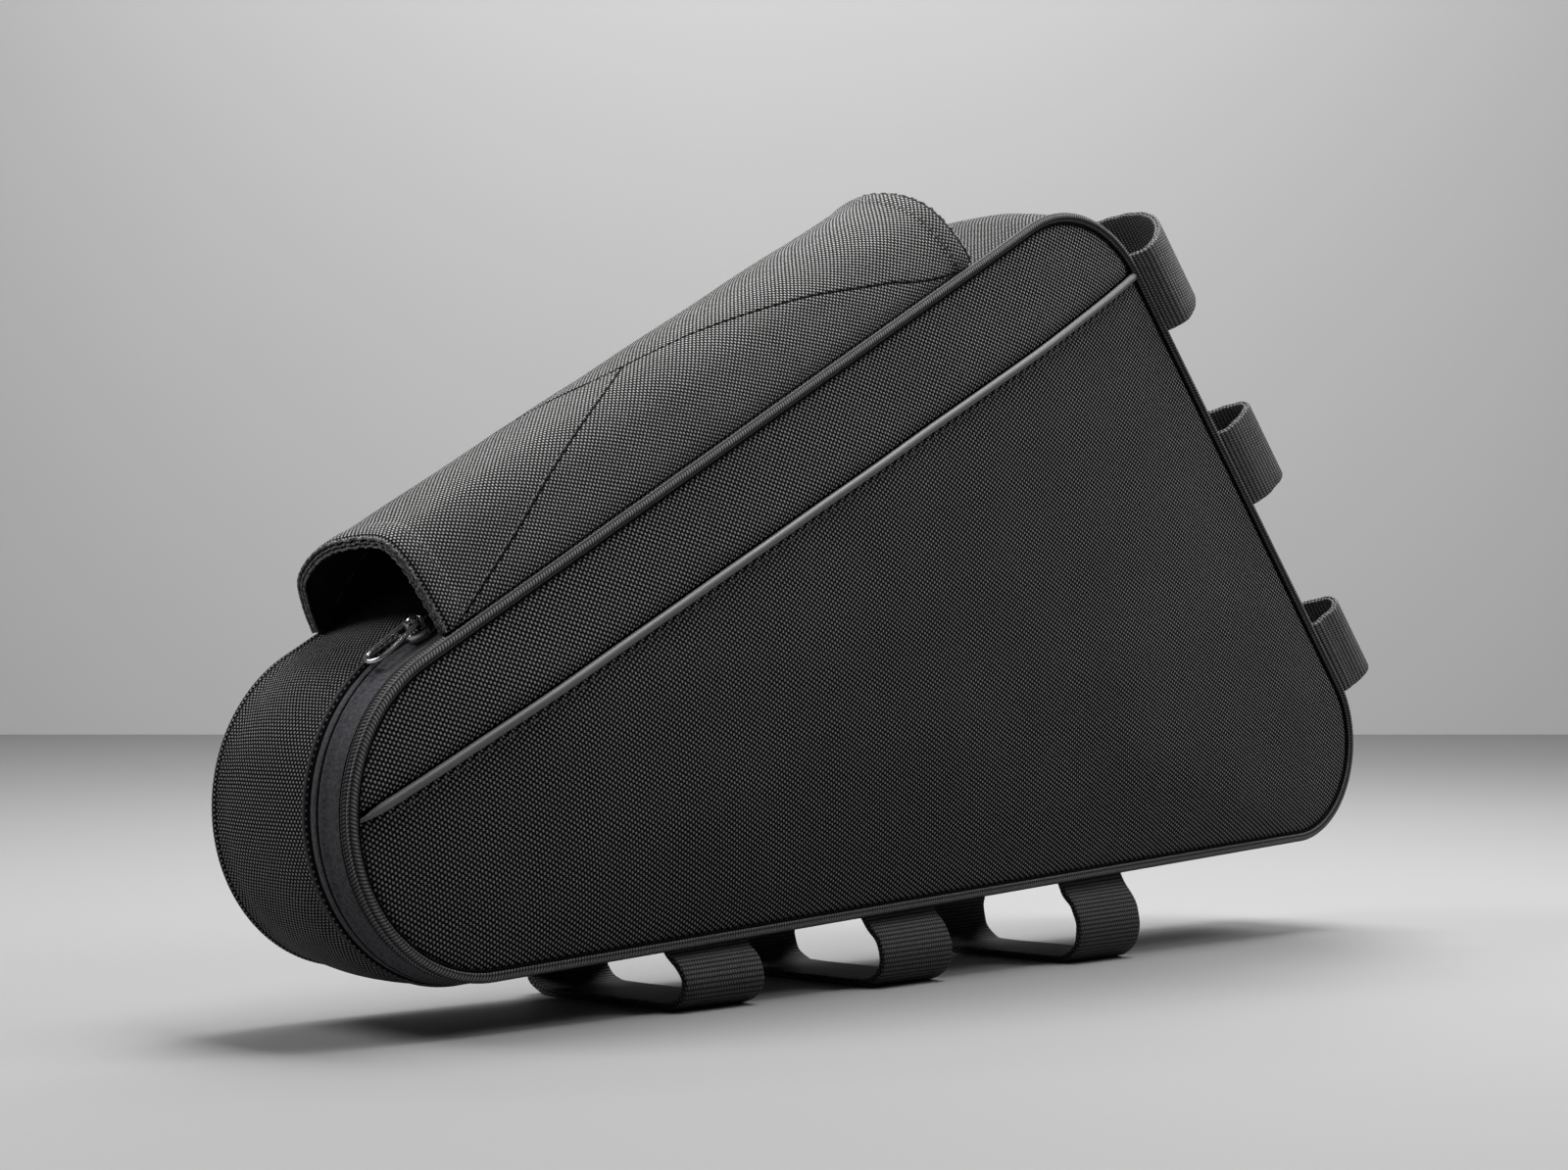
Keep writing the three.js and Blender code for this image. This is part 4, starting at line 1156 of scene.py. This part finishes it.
def sleevePlace(along, around, height):
    # A place on the sleeve; height is off its outer face.
    share = along[..., None]
    past = np.abs(around - np.clip(around, 0, 1)) * sleeve["archLength"]
    point = sleeveFront.at(around) * (1 - share) + sleeveRear.at(around) * share
    tangent = unit(sleeveFront.heading(around) * (1 - share) + sleeveRear.heading(around) * share)
    normal = np.stack([-tangent[..., 1], tangent[..., 0]], -1)
    inner = point - normal * sleeve["wall"]
    lift = overSeat(point, inner)
    point = point + normal * np.asarray(height)[..., None]
    run = topEdge["run"] + sleeve["start"] + along * sleeve["length"]
    return place(run, point[..., 0], point[..., 1] + lift - past)


def settleSleeve():
    along, around = np.meshgrid(np.linspace(0, 1, 34), np.linspace(0, 1, 22))
    grid = sleevePlace(along, around, np.zeros(along.shape))
    above = sleevePlace(along, around, np.ones(along.shape))
    normal = above - grid
    pinned = (around < 0.01) | (around > 0.99) | (along < 0.01) | (along > 0.99)
    facing = np.cross(grid[1, 1] - grid[0, 1], grid[0, 2] - grid[0, 1])
    sign = 1 if np.dot(facing, normal[0, 1]) > 0 else -1
    shift = settle("settleSleeve", grid, pinned, sleeve["pressure"] * sign, sleeve["slack"])
    return np.einsum("ijk,ijk->ij", shift, normal)


sleevePuff = settleSleeve()
print("sleeve settled")


def sleevePuffAt(along, around):
    rows, columns = sleevePuff.shape
    row = np.clip(around, 0, 1) * (rows - 1.0001)
    return fieldAt(sleevePuff, row, np.clip(along, 0, 1) * (columns - 1.0001))


archSteps = np.linspace(0, 1, 300)
archPoints = sleeveFront.at(archSteps) * 0.5 + sleeveRear.at(archSteps) * 0.5
archRun = runAlong(archPoints)

# Where the seams run: around the arch, and along it ahead of and behind the side pieces
seamAhead = ((0.010, 0.012), (0.093, 0.079), (0.159, 0.154), (0.250, 0.254), (0.339, 0.350), (0.433, 0.448),
             (0.466, 0.400), (0.527, 0.358), (0.585, 0.310), (0.710, 0.215), (0.835, 0.120), (0.990, 0.012))
seamBehind = ((0.010, 0.962), (0.125, 0.858), (0.248, 0.700), (0.373, 0.550), (0.433, 0.448), (0.466, 0.400),
              (0.527, 0.358), (0.585, 0.310), (0.655, 0.480), (0.750, 0.650), (0.865, 0.820), (0.990, 0.962))


def seamAt(seam, around):
    spots, values = np.array(seam).T
    return np.interp(around, spots, values)


def sleevePiece(name, node, span, low, high, hems, seed):
    # span is the stretch around the arch; low and high give where each row begins and ends along it.
    marks = [spot for spot, _ in seamAhead + seamBehind if span[0] < spot < span[1]]
    even = np.linspace(*span, sleeve["rows"])
    arounds = np.unique(np.concatenate([even, marks, [span[0] + 0.004, span[1] - 0.004]]))
    begin, stop = low(arounds), high(arounds)
    reach = (stop - begin) * sleeve["length"]
    offsets = evenEnds(sleeve["columns"], np.maximum(reach, 0.05), sleeve["ends"])
    along = begin[:, None] + offsets / sleeve["length"]
    around = np.broadcast_to(arounds[:, None], along.shape)
    fromLow, fromHigh = offsets, reach[:, None] - offsets
    arch = np.interp(around, archSteps, archRun)
    height = undulate(along * sleeve["length"], arch, sleeve["wave"], seed)
    height = height * smoothStep(0, 20, np.minimum(fromLow, fromHigh)) + sleevePuffAt(along, around)
    sides = list(zip((fromLow, fromHigh), hems))
    for distance, hem in sides:
        if hem:
            past = distance - sleeve["hem"]
            edge = sleeve["hemRise"] * (1 - smoothStep(-0.6, 0.3, past))
            height = height + edge - 0.9 * bell(distance, 0.8) - 0.35 * bell(past + 0.9, 0.5)
        else:
            height = height - sleeve["roll"] * bell(distance, sleeve["rollReach"])
    outer = sleevePlace(along, around, height)
    folds = [distance for distance, hem in sides if hem]
    thick = sleeve["wall"] + 0.5 * sum((1 - smoothStep(6, 9, away)) * (1 - bell(away, 1.0)) for away in folds)
    under = sleeve["foldUnder"] / sleeve["length"]
    innerAlong = along + under * (bell(fromHigh, 1.5) * (not hems[1]) - bell(fromLow, 1.5) * (not hems[0]))
    fuzz = 0.12 * np.sin(along * 900 + around * 260) * np.sin(around * 190 + along * 300)
    inner = sleevePlace(innerAlong, around, np.minimum(height, 0.4) - thick + fuzz)
    shell = sheetShell(outer, inner, np.stack([along * sleeve["length"], arch], -1))
    piece = shell.build(name, skins["canvas"], lining=skins["lining"])
    finishPiece(piece, "canvas", [node])


ahead = lambda around: seamAt(seamAhead, around)
behind = lambda around: seamAt(seamBehind, around)
still = lambda value: (lambda around: np.full(around.shape, value))
hairline = 0.0009
foot = (-sleeve["nearTuck"], 1 + sleeve["farTuck"])
beside = lambda seam, way: (lambda around: seam(around) + way * hairline)
between = (beside(ahead, 1), beside(behind, -1), (False, False))
sleevePiece("sleeveFrontCloth", "sleeve_front", foot, still(0.0), beside(ahead, -1), (True, False), 1.3)
sleevePiece("sleeveRearCloth", "sleeve_rear", foot, beside(behind, 1), still(1.0), (False, True), 3.1)
sleevePiece("sleeveNearSideCloth", "sleeve_side_near", (foot[0], 0.4315), *between, 5.2)
sleevePiece("sleeveFarSideCloth", "sleeve_side_far", (0.5865, foot[1]), *between, 0.4)


# Each roll of a mouth's edge has a height off the cloth and a radius
mouthHem = {"out": 0.3, "rolls": ((-0.3, 0.42), (-1.5, 0.36), (-2.65, 0.42))}


def makeHems():
    # Each mouth's folded edge shows its layers as soft rolls side by side.
    arounds = np.linspace(foot[0], foot[1], 260)
    for name, along, way in (("sleeveMouthHem", 0.0, -1), ("sleeveRearHem", 1.0, 1)):
        whole = Shell()
        for number, (height, radius) in enumerate(mouthHem["rolls"]):
            wave = 0.14 * np.sin(arounds * 170 + number) + 0.1 * np.sin(arounds * 410 + 2 * number)
            spot = along + (way * mouthHem["out"] + wave * 0.8) / sleeve["length"]
            path = sleevePlace(spot, arounds, height + wave)
            edge = np.full(arounds.shape, along)
            up = sleevePlace(edge, arounds, 1.0) - sleevePlace(edge, arounds, 0.0)
            roll = tubeShell(path, radius + 0.06 * np.sin(arounds * 600), 8, False, up)
            addTube(whole, roll)
        finishPiece(whole.build(name, skins["hem"]), "canvas")


makeHems()

seamShadeLine = {"radius": 0.16, "height": -0.06}


def makeSeamLines():
    # A near-black cord sunk along the seams between the sleeve's pieces, as painted shade in the seam, seen
    # as one dark line.
    apex, farApex = 0.433, 0.585
    whole = Shell()
    for route, low, high in ((ahead, 0.0, 1.0), (behind, 0.0, apex), (behind, farApex, 1.0)):
        arounds = np.linspace(low, high, int(260 * (high - low)) + 40)
        along = route(arounds)
        height = sleevePuffAt(along, arounds) + seamShadeLine["height"]
        path = sleevePlace(along, arounds, height)
        up = sleevePlace(along, arounds, height + 1) - path
        addTube(whole, tubeShell(path, seamShadeLine["radius"], 8, False, up))
    finishPiece(whole.build("sleeveSeamLines", skins["shade"]), "canvas")


makeSeamLines()

# Inside the sleeve a dark tube in the lining's colour lies along the line where its far foot meets the bag,
# as painted shade that also keeps light off that line
footShadeTube = {"deep": 58.9, "level": 1.75, "radius": 1.0}
footRuns = topEdge["run"] + sleeve["start"] + np.linspace(0.4, sleeve["length"] - 0.4, 120)
layTube("sleeveFootShadeTube", footRuns, *footShadeTube.values(), "lining", "canvas", 10)
print("sleeve made")

# Slider and puller

slider = {
    "profile": ((0.35, 0.12), (0.45, 0.0), (2.35, 0.0), (2.7, 0.15), (2.86, 0.5), (2.92, 1.2), (2.95, 2.4)),
    "run": 9.5,
    "length": 9.6,
    "width": 8.0,
    "squareness": 3.4,
    "plateTop": 2.9,
    "bridgeSpan": 6.4,
    "bridgeBar": 0.9,
    "pullerLength": 20.0,
    "pullerWidth": 7.2,
    "pullerNeck": 5.4,
    "wire": 1.5,
    "tilt": 7.0,
}


def sliderFrame():
    run = topEdge["run"] + slider["run"]
    line, level = zipSize["line"], zipSize["tapeTop"]
    here = placeOver(run, line, level)
    x = unit(placeOver(run + 1, line, level) - here)
    z = unit(np.cross(x, placeOver(run, line + 1, level) - here))
    return here, np.stack([x, np.cross(z, x), z])


sliderOrigin, sliderAxes = sliderFrame()
hingeHeight = (slider["plateTop"] + bag["gap"] + slider["wire"] / 2
               + math.tan(math.radians(slider["tilt"])) * slider["length"] / 2)


def fromSlider(points):
    return sliderOrigin + np.asarray(points, float) @ sliderAxes


def makeSlider():
    # A rounded body that swells at its mouth, with an arched bridge over it.
    turns = np.linspace(0, 2 * math.pi, 56, endpoint=False)
    rounded = lambda wave, size: np.sign(wave) * np.abs(wave) ** (2 / slider["squareness"]) * size / 2
    x = rounded(np.cos(turns), slider["length"])
    y = rounded(np.sin(turns), slider["width"])
    y = y * (1 - 0.10 * smoothStep(0, slider["length"] / 2, x)) * (1 - 0.05 * smoothStep(0, 4, -x))
    rings = []
    for level, inset in slider["profile"]:
        share = 1 - inset / (slider["width"] / 2)
        rings.append(np.stack([x * share, y * share, np.full(x.shape, level)], -1))
    points = fromSlider(np.stack(rings))
    shell = Shell()
    flat = np.zeros((len(rings), len(turns) + 1, 2))
    index = shell.grid(points, flat, ringColumns=True)
    shell.capEnds(index)
    bar = slider["bridgeBar"]
    half = slider["bridgeSpan"] / 2 - bar / 2
    crest = hingeHeight + slider["wire"] / 2 + bag["gap"] + bar / 2
    arch = np.linspace(0, math.pi, 26)
    path = np.stack([np.cos(arch), np.zeros(26), np.sin(arch)], -1)
    path = np.sign(path) * np.abs(path) ** 0.62 * np.array([half, 0, crest - 2.6]) + np.array([0, 0, 2.6])
    bridge = tubeShell(path, bar * 0.5, 14, False, (0, 1, 0))
    points = bridge.points[0].copy()
    points[:, 1] *= 1.9
    bridge.points[0] = fromSlider(points)
    addTube(shell, bridge)
    piece = shell.build("zipSlider", skins["metal"], 40)
    finishPiece(piece, "gunmetal", ["zip_slider"])


makeSlider()


def makePuller():
    straight = slider["pullerLength"] - slider["pullerWidth"] / 2 - slider["pullerNeck"] / 4
    tip = slider["pullerWidth"] / 2 - slider["wire"] / 2
    neck = slider["pullerNeck"] / 2 - slider["wire"] / 2
    rows = ((0, 0, 0.75, 0), (0.04, 0, 1, 0), (0.45, 0, 0.4, 0.6), (1, 0, 0, 1), (1, 0.62, 0, 0.78))
    side = [(-a * straight - p * tip, n * neck + t * tip, 0) for a, p, n, t in rows]
    path = [(0, 0, 0), *side, (-straight - tip, 0, 0), *[(x, -y, z) for x, y, z in side[::-1]]]
    path = np.array(path, float)
    count = len(path)
    knots = np.linalg.norm(np.roll(path, -1, 0) - path, axis=1) ** 0.5
    points = []
    for i in range(count):
        p0, p1, p2, p3 = [path[(i + step) % count] for step in (-1, 0, 1, 2)]
        d0, d1, d2 = knots[(i - 1) % count], knots[i], knots[(i + 1) % count]
        t1 = ((p1 - p0) / d0 - (p2 - p0) / (d0 + d1) + (p2 - p1) / d1) * d1
        t2 = ((p2 - p1) / d1 - (p3 - p1) / (d1 + d2) + (p3 - p2) / d2) * d1
        points.append(smoothCurve(p1, p2, t1, t2, np.linspace(0, 1, 12, endpoint=False)[:, None]))
    points = np.concatenate(points)
    x, z = turned(points[:, 0], points[:, 2], slider["tilt"]).T
    path = fromSlider(np.stack([x, points[:, 1], z + hingeHeight], -1))
    shell = tubeShell(path, slider["wire"] / 2, 18, True, sliderAxes[2])
    finishPiece(shell.build("zipPuller", skins["wire"], 60), "gunmetal", ["zip_puller"], "puller")


makePuller()
print("slider and puller made")

# Webbing loops

strap = {
    "width": 31.0,
    "thickness": 2.2,
    "footInset": 3.5,
    "rearReach": 29.5,
    "turnFrom": 0.15,
    "turnTo": 0.55,
    "rib": 1.3,
    "ribRise": 0.025,
}
lowerRoute = ((0.025, 0.20), (-0.035, 0.36), (-0.066, 0.58), (-0.045, 0.82), (0.035, 0.97), (0.14, 1),
              (0.50, 1), (0.86, 1), (0.965, 0.97), (1.045, 0.82), (1.066, 0.58), (1.035, 0.36), (0.975, 0.20))
rearRoutes = (
    ((-0.005, 0.11), (-0.057, 0.19), (-0.073, 0.3), (-0.058, 0.47), (0, 0.69), (0.087, 0.87), (0.2, 0.985),
     (0.34, 1), (0.5, 0.9), (0.667, 0.705), (0.8, 0.495), (0.908, 0.288)),
    ((-0.005, 0.11), (-0.042, 0.23), (-0.057, 0.4), (-0.057, 0.54), (-0.035, 0.645), (0.015, 0.68),
     (0.085, 0.645), (0.178, 0.553), (0.3, 0.44), (0.47, 0.32), (0.66, 0.24), (0.86, 0.178)),
    ((-0.005, 0.11), (-0.028, 0.22), (-0.055, 0.363), (-0.052, 0.47), (-0.028, 0.55), (0.018, 0.6),
     (0.08, 0.577), (0.17, 0.508), (0.3, 0.405), (0.47, 0.31), (0.66, 0.24), (0.86, 0.178)),
)
lowerPlaces = (0.217, 0.4375, 0.690)
rearPlaces = (0.053, 0.467, 0.943)


def strapRoute(rows, reach):
    inset, thick = strap["footInset"], strap["thickness"]
    foot = float(bulgeAt(inset + thick / 2)) + bag["gap"]
    middle = [(deep * bag["depth"], out * reach) for deep, out in rows]
    return Route([(inset, foot), *middle, (bag["depth"] - inset, foot)])


def strapFaces(route, shares):
    point = route.at(shares)
    tangent = unit(route.heading(shares))
    normal = np.stack([-tangent[:, 1], tangent[:, 0]], -1) * strap["thickness"] / 2
    outer, inner = point + normal, point - normal
    lift = overSeat(outer, inner)
    outer[:, 1] += lift
    inner[:, 1] += lift
    return outer, inner


def strapSection():
    # Across the strap: two plies with a groove between them at each selvedge.
    half, thick = strap["width"] / 2, strap["thickness"] / 2
    face = [(x, 1.0) for x in np.linspace(-half + 0.6, half - 0.6, 9)]
    edge = [(half - 0.15, 0.88), (half, 0.5), (half - 0.12, 0.16), (half - 0.6, 0.0),
            (half - 0.12, -0.16), (half, -0.5), (half - 0.15, -0.88)]
    back = [(x, -1.0) for x in np.linspace(half - 0.6, -half + 0.6, 9)]
    other = [(-x, y) for x, y in edge[::-1]]
    return np.array(face + edge + back + other), thick


def makeStrap(name, node, route, columnPlace, skin, seed):
    section, thick = strapSection()
    shares = np.linspace(0, 1, 900)
    outer, inner = strapFaces(route(0.0), shares)
    middle = (outer + inner) / 2
    steps = runAlong(middle)
    rows = int(steps[-1] / (strap["rib"] / 3))
    run = np.linspace(0, steps[-1], rows)
    shares = np.interp(run, steps, shares)
    rib = np.abs(np.sin(math.pi * run / strap["rib"])) - 0.6
    columns = []
    for across, level in section:
        outer, inner = strapFaces(route(across), shares)
        height = level * (1 + rib * strap["ribRise"] / thick * (1 if abs(level) == 1 else 0.4))
        ragged = 0.12 * rib + 0.1 * np.sin(run * 0.9 + seed)
        sideways = across + np.sign(across) * ragged * (abs(level) < 0.9)
        deep, out = ((outer + inner) / 2 + (outer - inner) / 2 * height[:, None]).T
        columns.append(columnPlace(sideways, deep, out, across))
    points = np.stack(columns, 1)
    around = runAlong(section * [1, thick])
    around = np.append(around, around[-1] + 0.5)
    across, along = np.meshgrid(around, run)
    shell = Shell()
    index = shell.grid(points, np.stack([across, along], -1), ringColumns=True)
    shell.capEnds(index)
    finishPiece(shell.build(name, skins[skin], 70), "webbing", [node])


def lowerLoop(number, share):
    middleRun = lowerEdge["run"] + (1 - share) * lowerEdge["length"]
    thick = strap["thickness"] / 2

    def reachAt(across):
        point, normal = outline.at(np.array([middleRun + across]))
        return float(point[0, 1] / -normal[0, 1] - thick)

    def columnPlace(sideways, deep, out, across):
        return place(middleRun + sideways, deep, np.minimum(out, reachAt(across) + thick))

    route = lambda across: strapRoute(lowerRoute, reachAt(across))
    makeStrap(f"lowerLoop{number}", f"lower_loop_{number}", route, columnPlace, "shadedLowerWebbing", number)


def rearLoop(number, share, rows):
    edge = rearEdge
    middleRun = edge["run"] + edge["length"] / 2
    begin, normal = [value[0] for value in outline.at(np.array([middleRun]))]
    along = headingOf(edge["angle"])
    loopRun = edge["run"] + share * edge["length"]
    curve = strapRoute(rows, strap["rearReach"])

    def columnPlace(sideways, deep, out, across):
        foot, _ = outline.at(loopRun + sideways)
        straight = begin + along * (loopRun + sideways - middleRun)[:, None]
        mix = smoothStep(strap["turnFrom"], strap["turnTo"], out / strap["rearReach"])[:, None]
        base = foot * (1 - mix) + straight * mix + normal * out[:, None]
        return np.stack([base[:, 0], deep - bag["depth"] / 2, base[:, 1]], -1)

    route = lambda across: curve
    makeStrap(f"rearLoop{number}", f"rear_loop_{number}", route, columnPlace, "rearWebbing", number + 3)


for number, share in enumerate(lowerPlaces, 1):
    lowerLoop(number, share)
for number, (share, rows) in enumerate(zip(rearPlaces, rearRoutes), 1):
    rearLoop(number, share, rows)
print("webbing loops made")

# Stitches

stitch = {
    "pitch": 2.6,
    "length": 2.0,
    "radius": 0.18,
    "hemBack": 1.0,
    "seamBack": 2.6,
    "frontShare": 0.9,
    "pocketBack": 3.2,
    "pocketLift": 0.4,
    "pocketSize": 0.72,
}


def stitchLine(name, path, up, slot="canvas", size=1.0):
    # Thread showing at even steps along a line on the cloth.
    steps = runAlong(path)
    pitch = stitch["pitch"] * size
    spots = np.arange(pitch, steps[-1] - pitch / 2, pitch)
    at = lambda values, where: np.stack([np.interp(where, steps, values[:, k]) for k in range(3)], -1)
    centres = at(path, spots)
    along = at(path, spots + 0.4) - at(path, spots - 0.4)
    lift = unit(at(up, spots))
    length, radius = stitch["length"] * size, stitch["radius"] * size
    finishPiece(capsules(name, centres, along, lift, length, radius, skins["thread"]), slot)


def sleeveStitches(name, along, around, drop=0.05):
    height = sleevePuffAt(along, around) - drop
    path = sleevePlace(along, around, height)
    stitchLine(name, path, sleevePlace(along, around, height + 1) - path)


spots = np.linspace(0.012, 0.988, 260)
hemShare = (sleeve["hem"] - stitch["hemBack"]) / sleeve["length"]
sleeveStitches("sleeveHemStitchesFront", np.full(260, hemShare), spots, -0.1)
sleeveStitches("sleeveHemStitchesRear", np.full(260, 1 - hemShare), spots, -0.1)
seamShare = stitch["seamBack"] / sleeve["length"]
ridge = np.linspace(0.434, 0.585, 80)
sleeveStitches("ridgeSeamStitches", ahead(ridge) - seamShare, ridge)
slope = np.linspace(0.02, 0.43, 160)
sleeveStitches("frontSeamStitches", ahead(slope) - seamShare * stitch["frontShare"], slope)


def pocketStitches():
    runs = np.linspace(8, lightLength - 4, 260)
    flat = lightStart + runs[:, None] * lightAlong - lightAcross * stitch["pocketBack"]
    path = sidePlace(flat, -1, nearHeight(flat) + stitch["pocketLift"])
    up = np.broadcast_to(np.array([0.0, -1.0, 0.0]), path.shape)
    stitchLine("pocketEdgeStitches", path, up, "pocket_canvas", stitch["pocketSize"])


pocketStitches()
print("stitches made")

# Floor, backdrop and lights

studio = {
    "floorSize": 4.0,
    "floorShade": 0.25,
    "wallShade": 0.6,
    "wallAway": 3.2,
    "wallSize": 4.0,
    "world": 0.06,
}


def studioSheet(name, corners, shade):
    finish = Finish(name)
    tone = finish.noise(3, 2.0)
    mesh = bpy.data.meshes.new(name)
    mesh.from_pydata([tuple(corner) for corner in corners], [], [(0, 1, 2, 3)])
    mesh.materials.append(finish.surface({
        "Base Color": finish.blend(tone, grey(shade * 0.97), grey(shade)),
        "Roughness": 0.75,
        "Specular IOR Level": 0.2,
    }))
    sheet = addObject(name, mesh)


def makeFloor():
    size = studio["floorSize"]
    corners = [(-size, -size, 0), (size, -size, 0), (size, size, 0), (-size, size, 0)]
    studioSheet("studioFloor", corners, studio["floorShade"])
    # The wall stands square to the camera, well behind the bag
    forward = Vector(view["forward"])
    forward.z = 0
    forward.normalize()
    foot = Vector(view["place"]) + forward * studio["wallAway"]
    foot.z = 0
    wide = Vector((forward.y, -forward.x, 0)) * studio["wallSize"]
    high = Vector((0, 0, studio["wallSize"]))
    corners = [foot - wide, foot + wide, foot + wide + high, foot - wide + high]
    studioSheet("studioWall", corners, studio["wallShade"])


def makeWorld():
    world = bpy.data.worlds.new("studioWorld")
    bpy.context.scene.world = world
    world.use_nodes = True
    background = world.node_tree.nodes["Background"]
    background.inputs["Color"].default_value = (0.9, 0.92, 0.95, 1)
    background.inputs["Strength"].default_value = studio["world"]


lights = {
    "overheadBox": {"place": (0.2, 0.0, 1.25), "aim": (0.08, 0, 0.15), "size": (0.9, 0.5), "power": 27},
    "leftBox": {"place": (-0.8, 0.4, 1.0), "aim": (-0.15, 0, 0.15), "size": (0.5, 0.5), "power": 9},
    "rimBox": {"place": (0.8, 0.55, 0.95), "aim": (0.1, 0, 0.2), "size": (0.6, 0.6), "power": 5},
    "wallBox": {"place": (0.9, 0.91, 1.9), "aim": (1.6, 1.62, 0.5), "size": (1.6, 0.4), "power": 32},
    "rearBox": {"place": (0.6, -0.5, 0.78), "aim": (0.2, -0.02, 0.26), "size": (0.35, 0.35), "power": 4.2},
}


def makeLights():
    for name, spec in lights.items():
        data = bpy.data.lights.new(name, "AREA")
        data.shape = "RECTANGLE"
        data.size, data.size_y = spec["size"]
        data.energy = spec["power"]
        lamp = addObject(name, data)
        lamp.location = spec["place"]
        aim = Vector(spec["aim"]) - Vector(spec["place"])
        lamp.rotation_euler = aim.to_track_quat("-Z", "Y").to_euler()


makeFloor()
makeWorld()
makeLights()
bpy.context.scene.view_settings.view_transform = "Standard"
print("studio made")
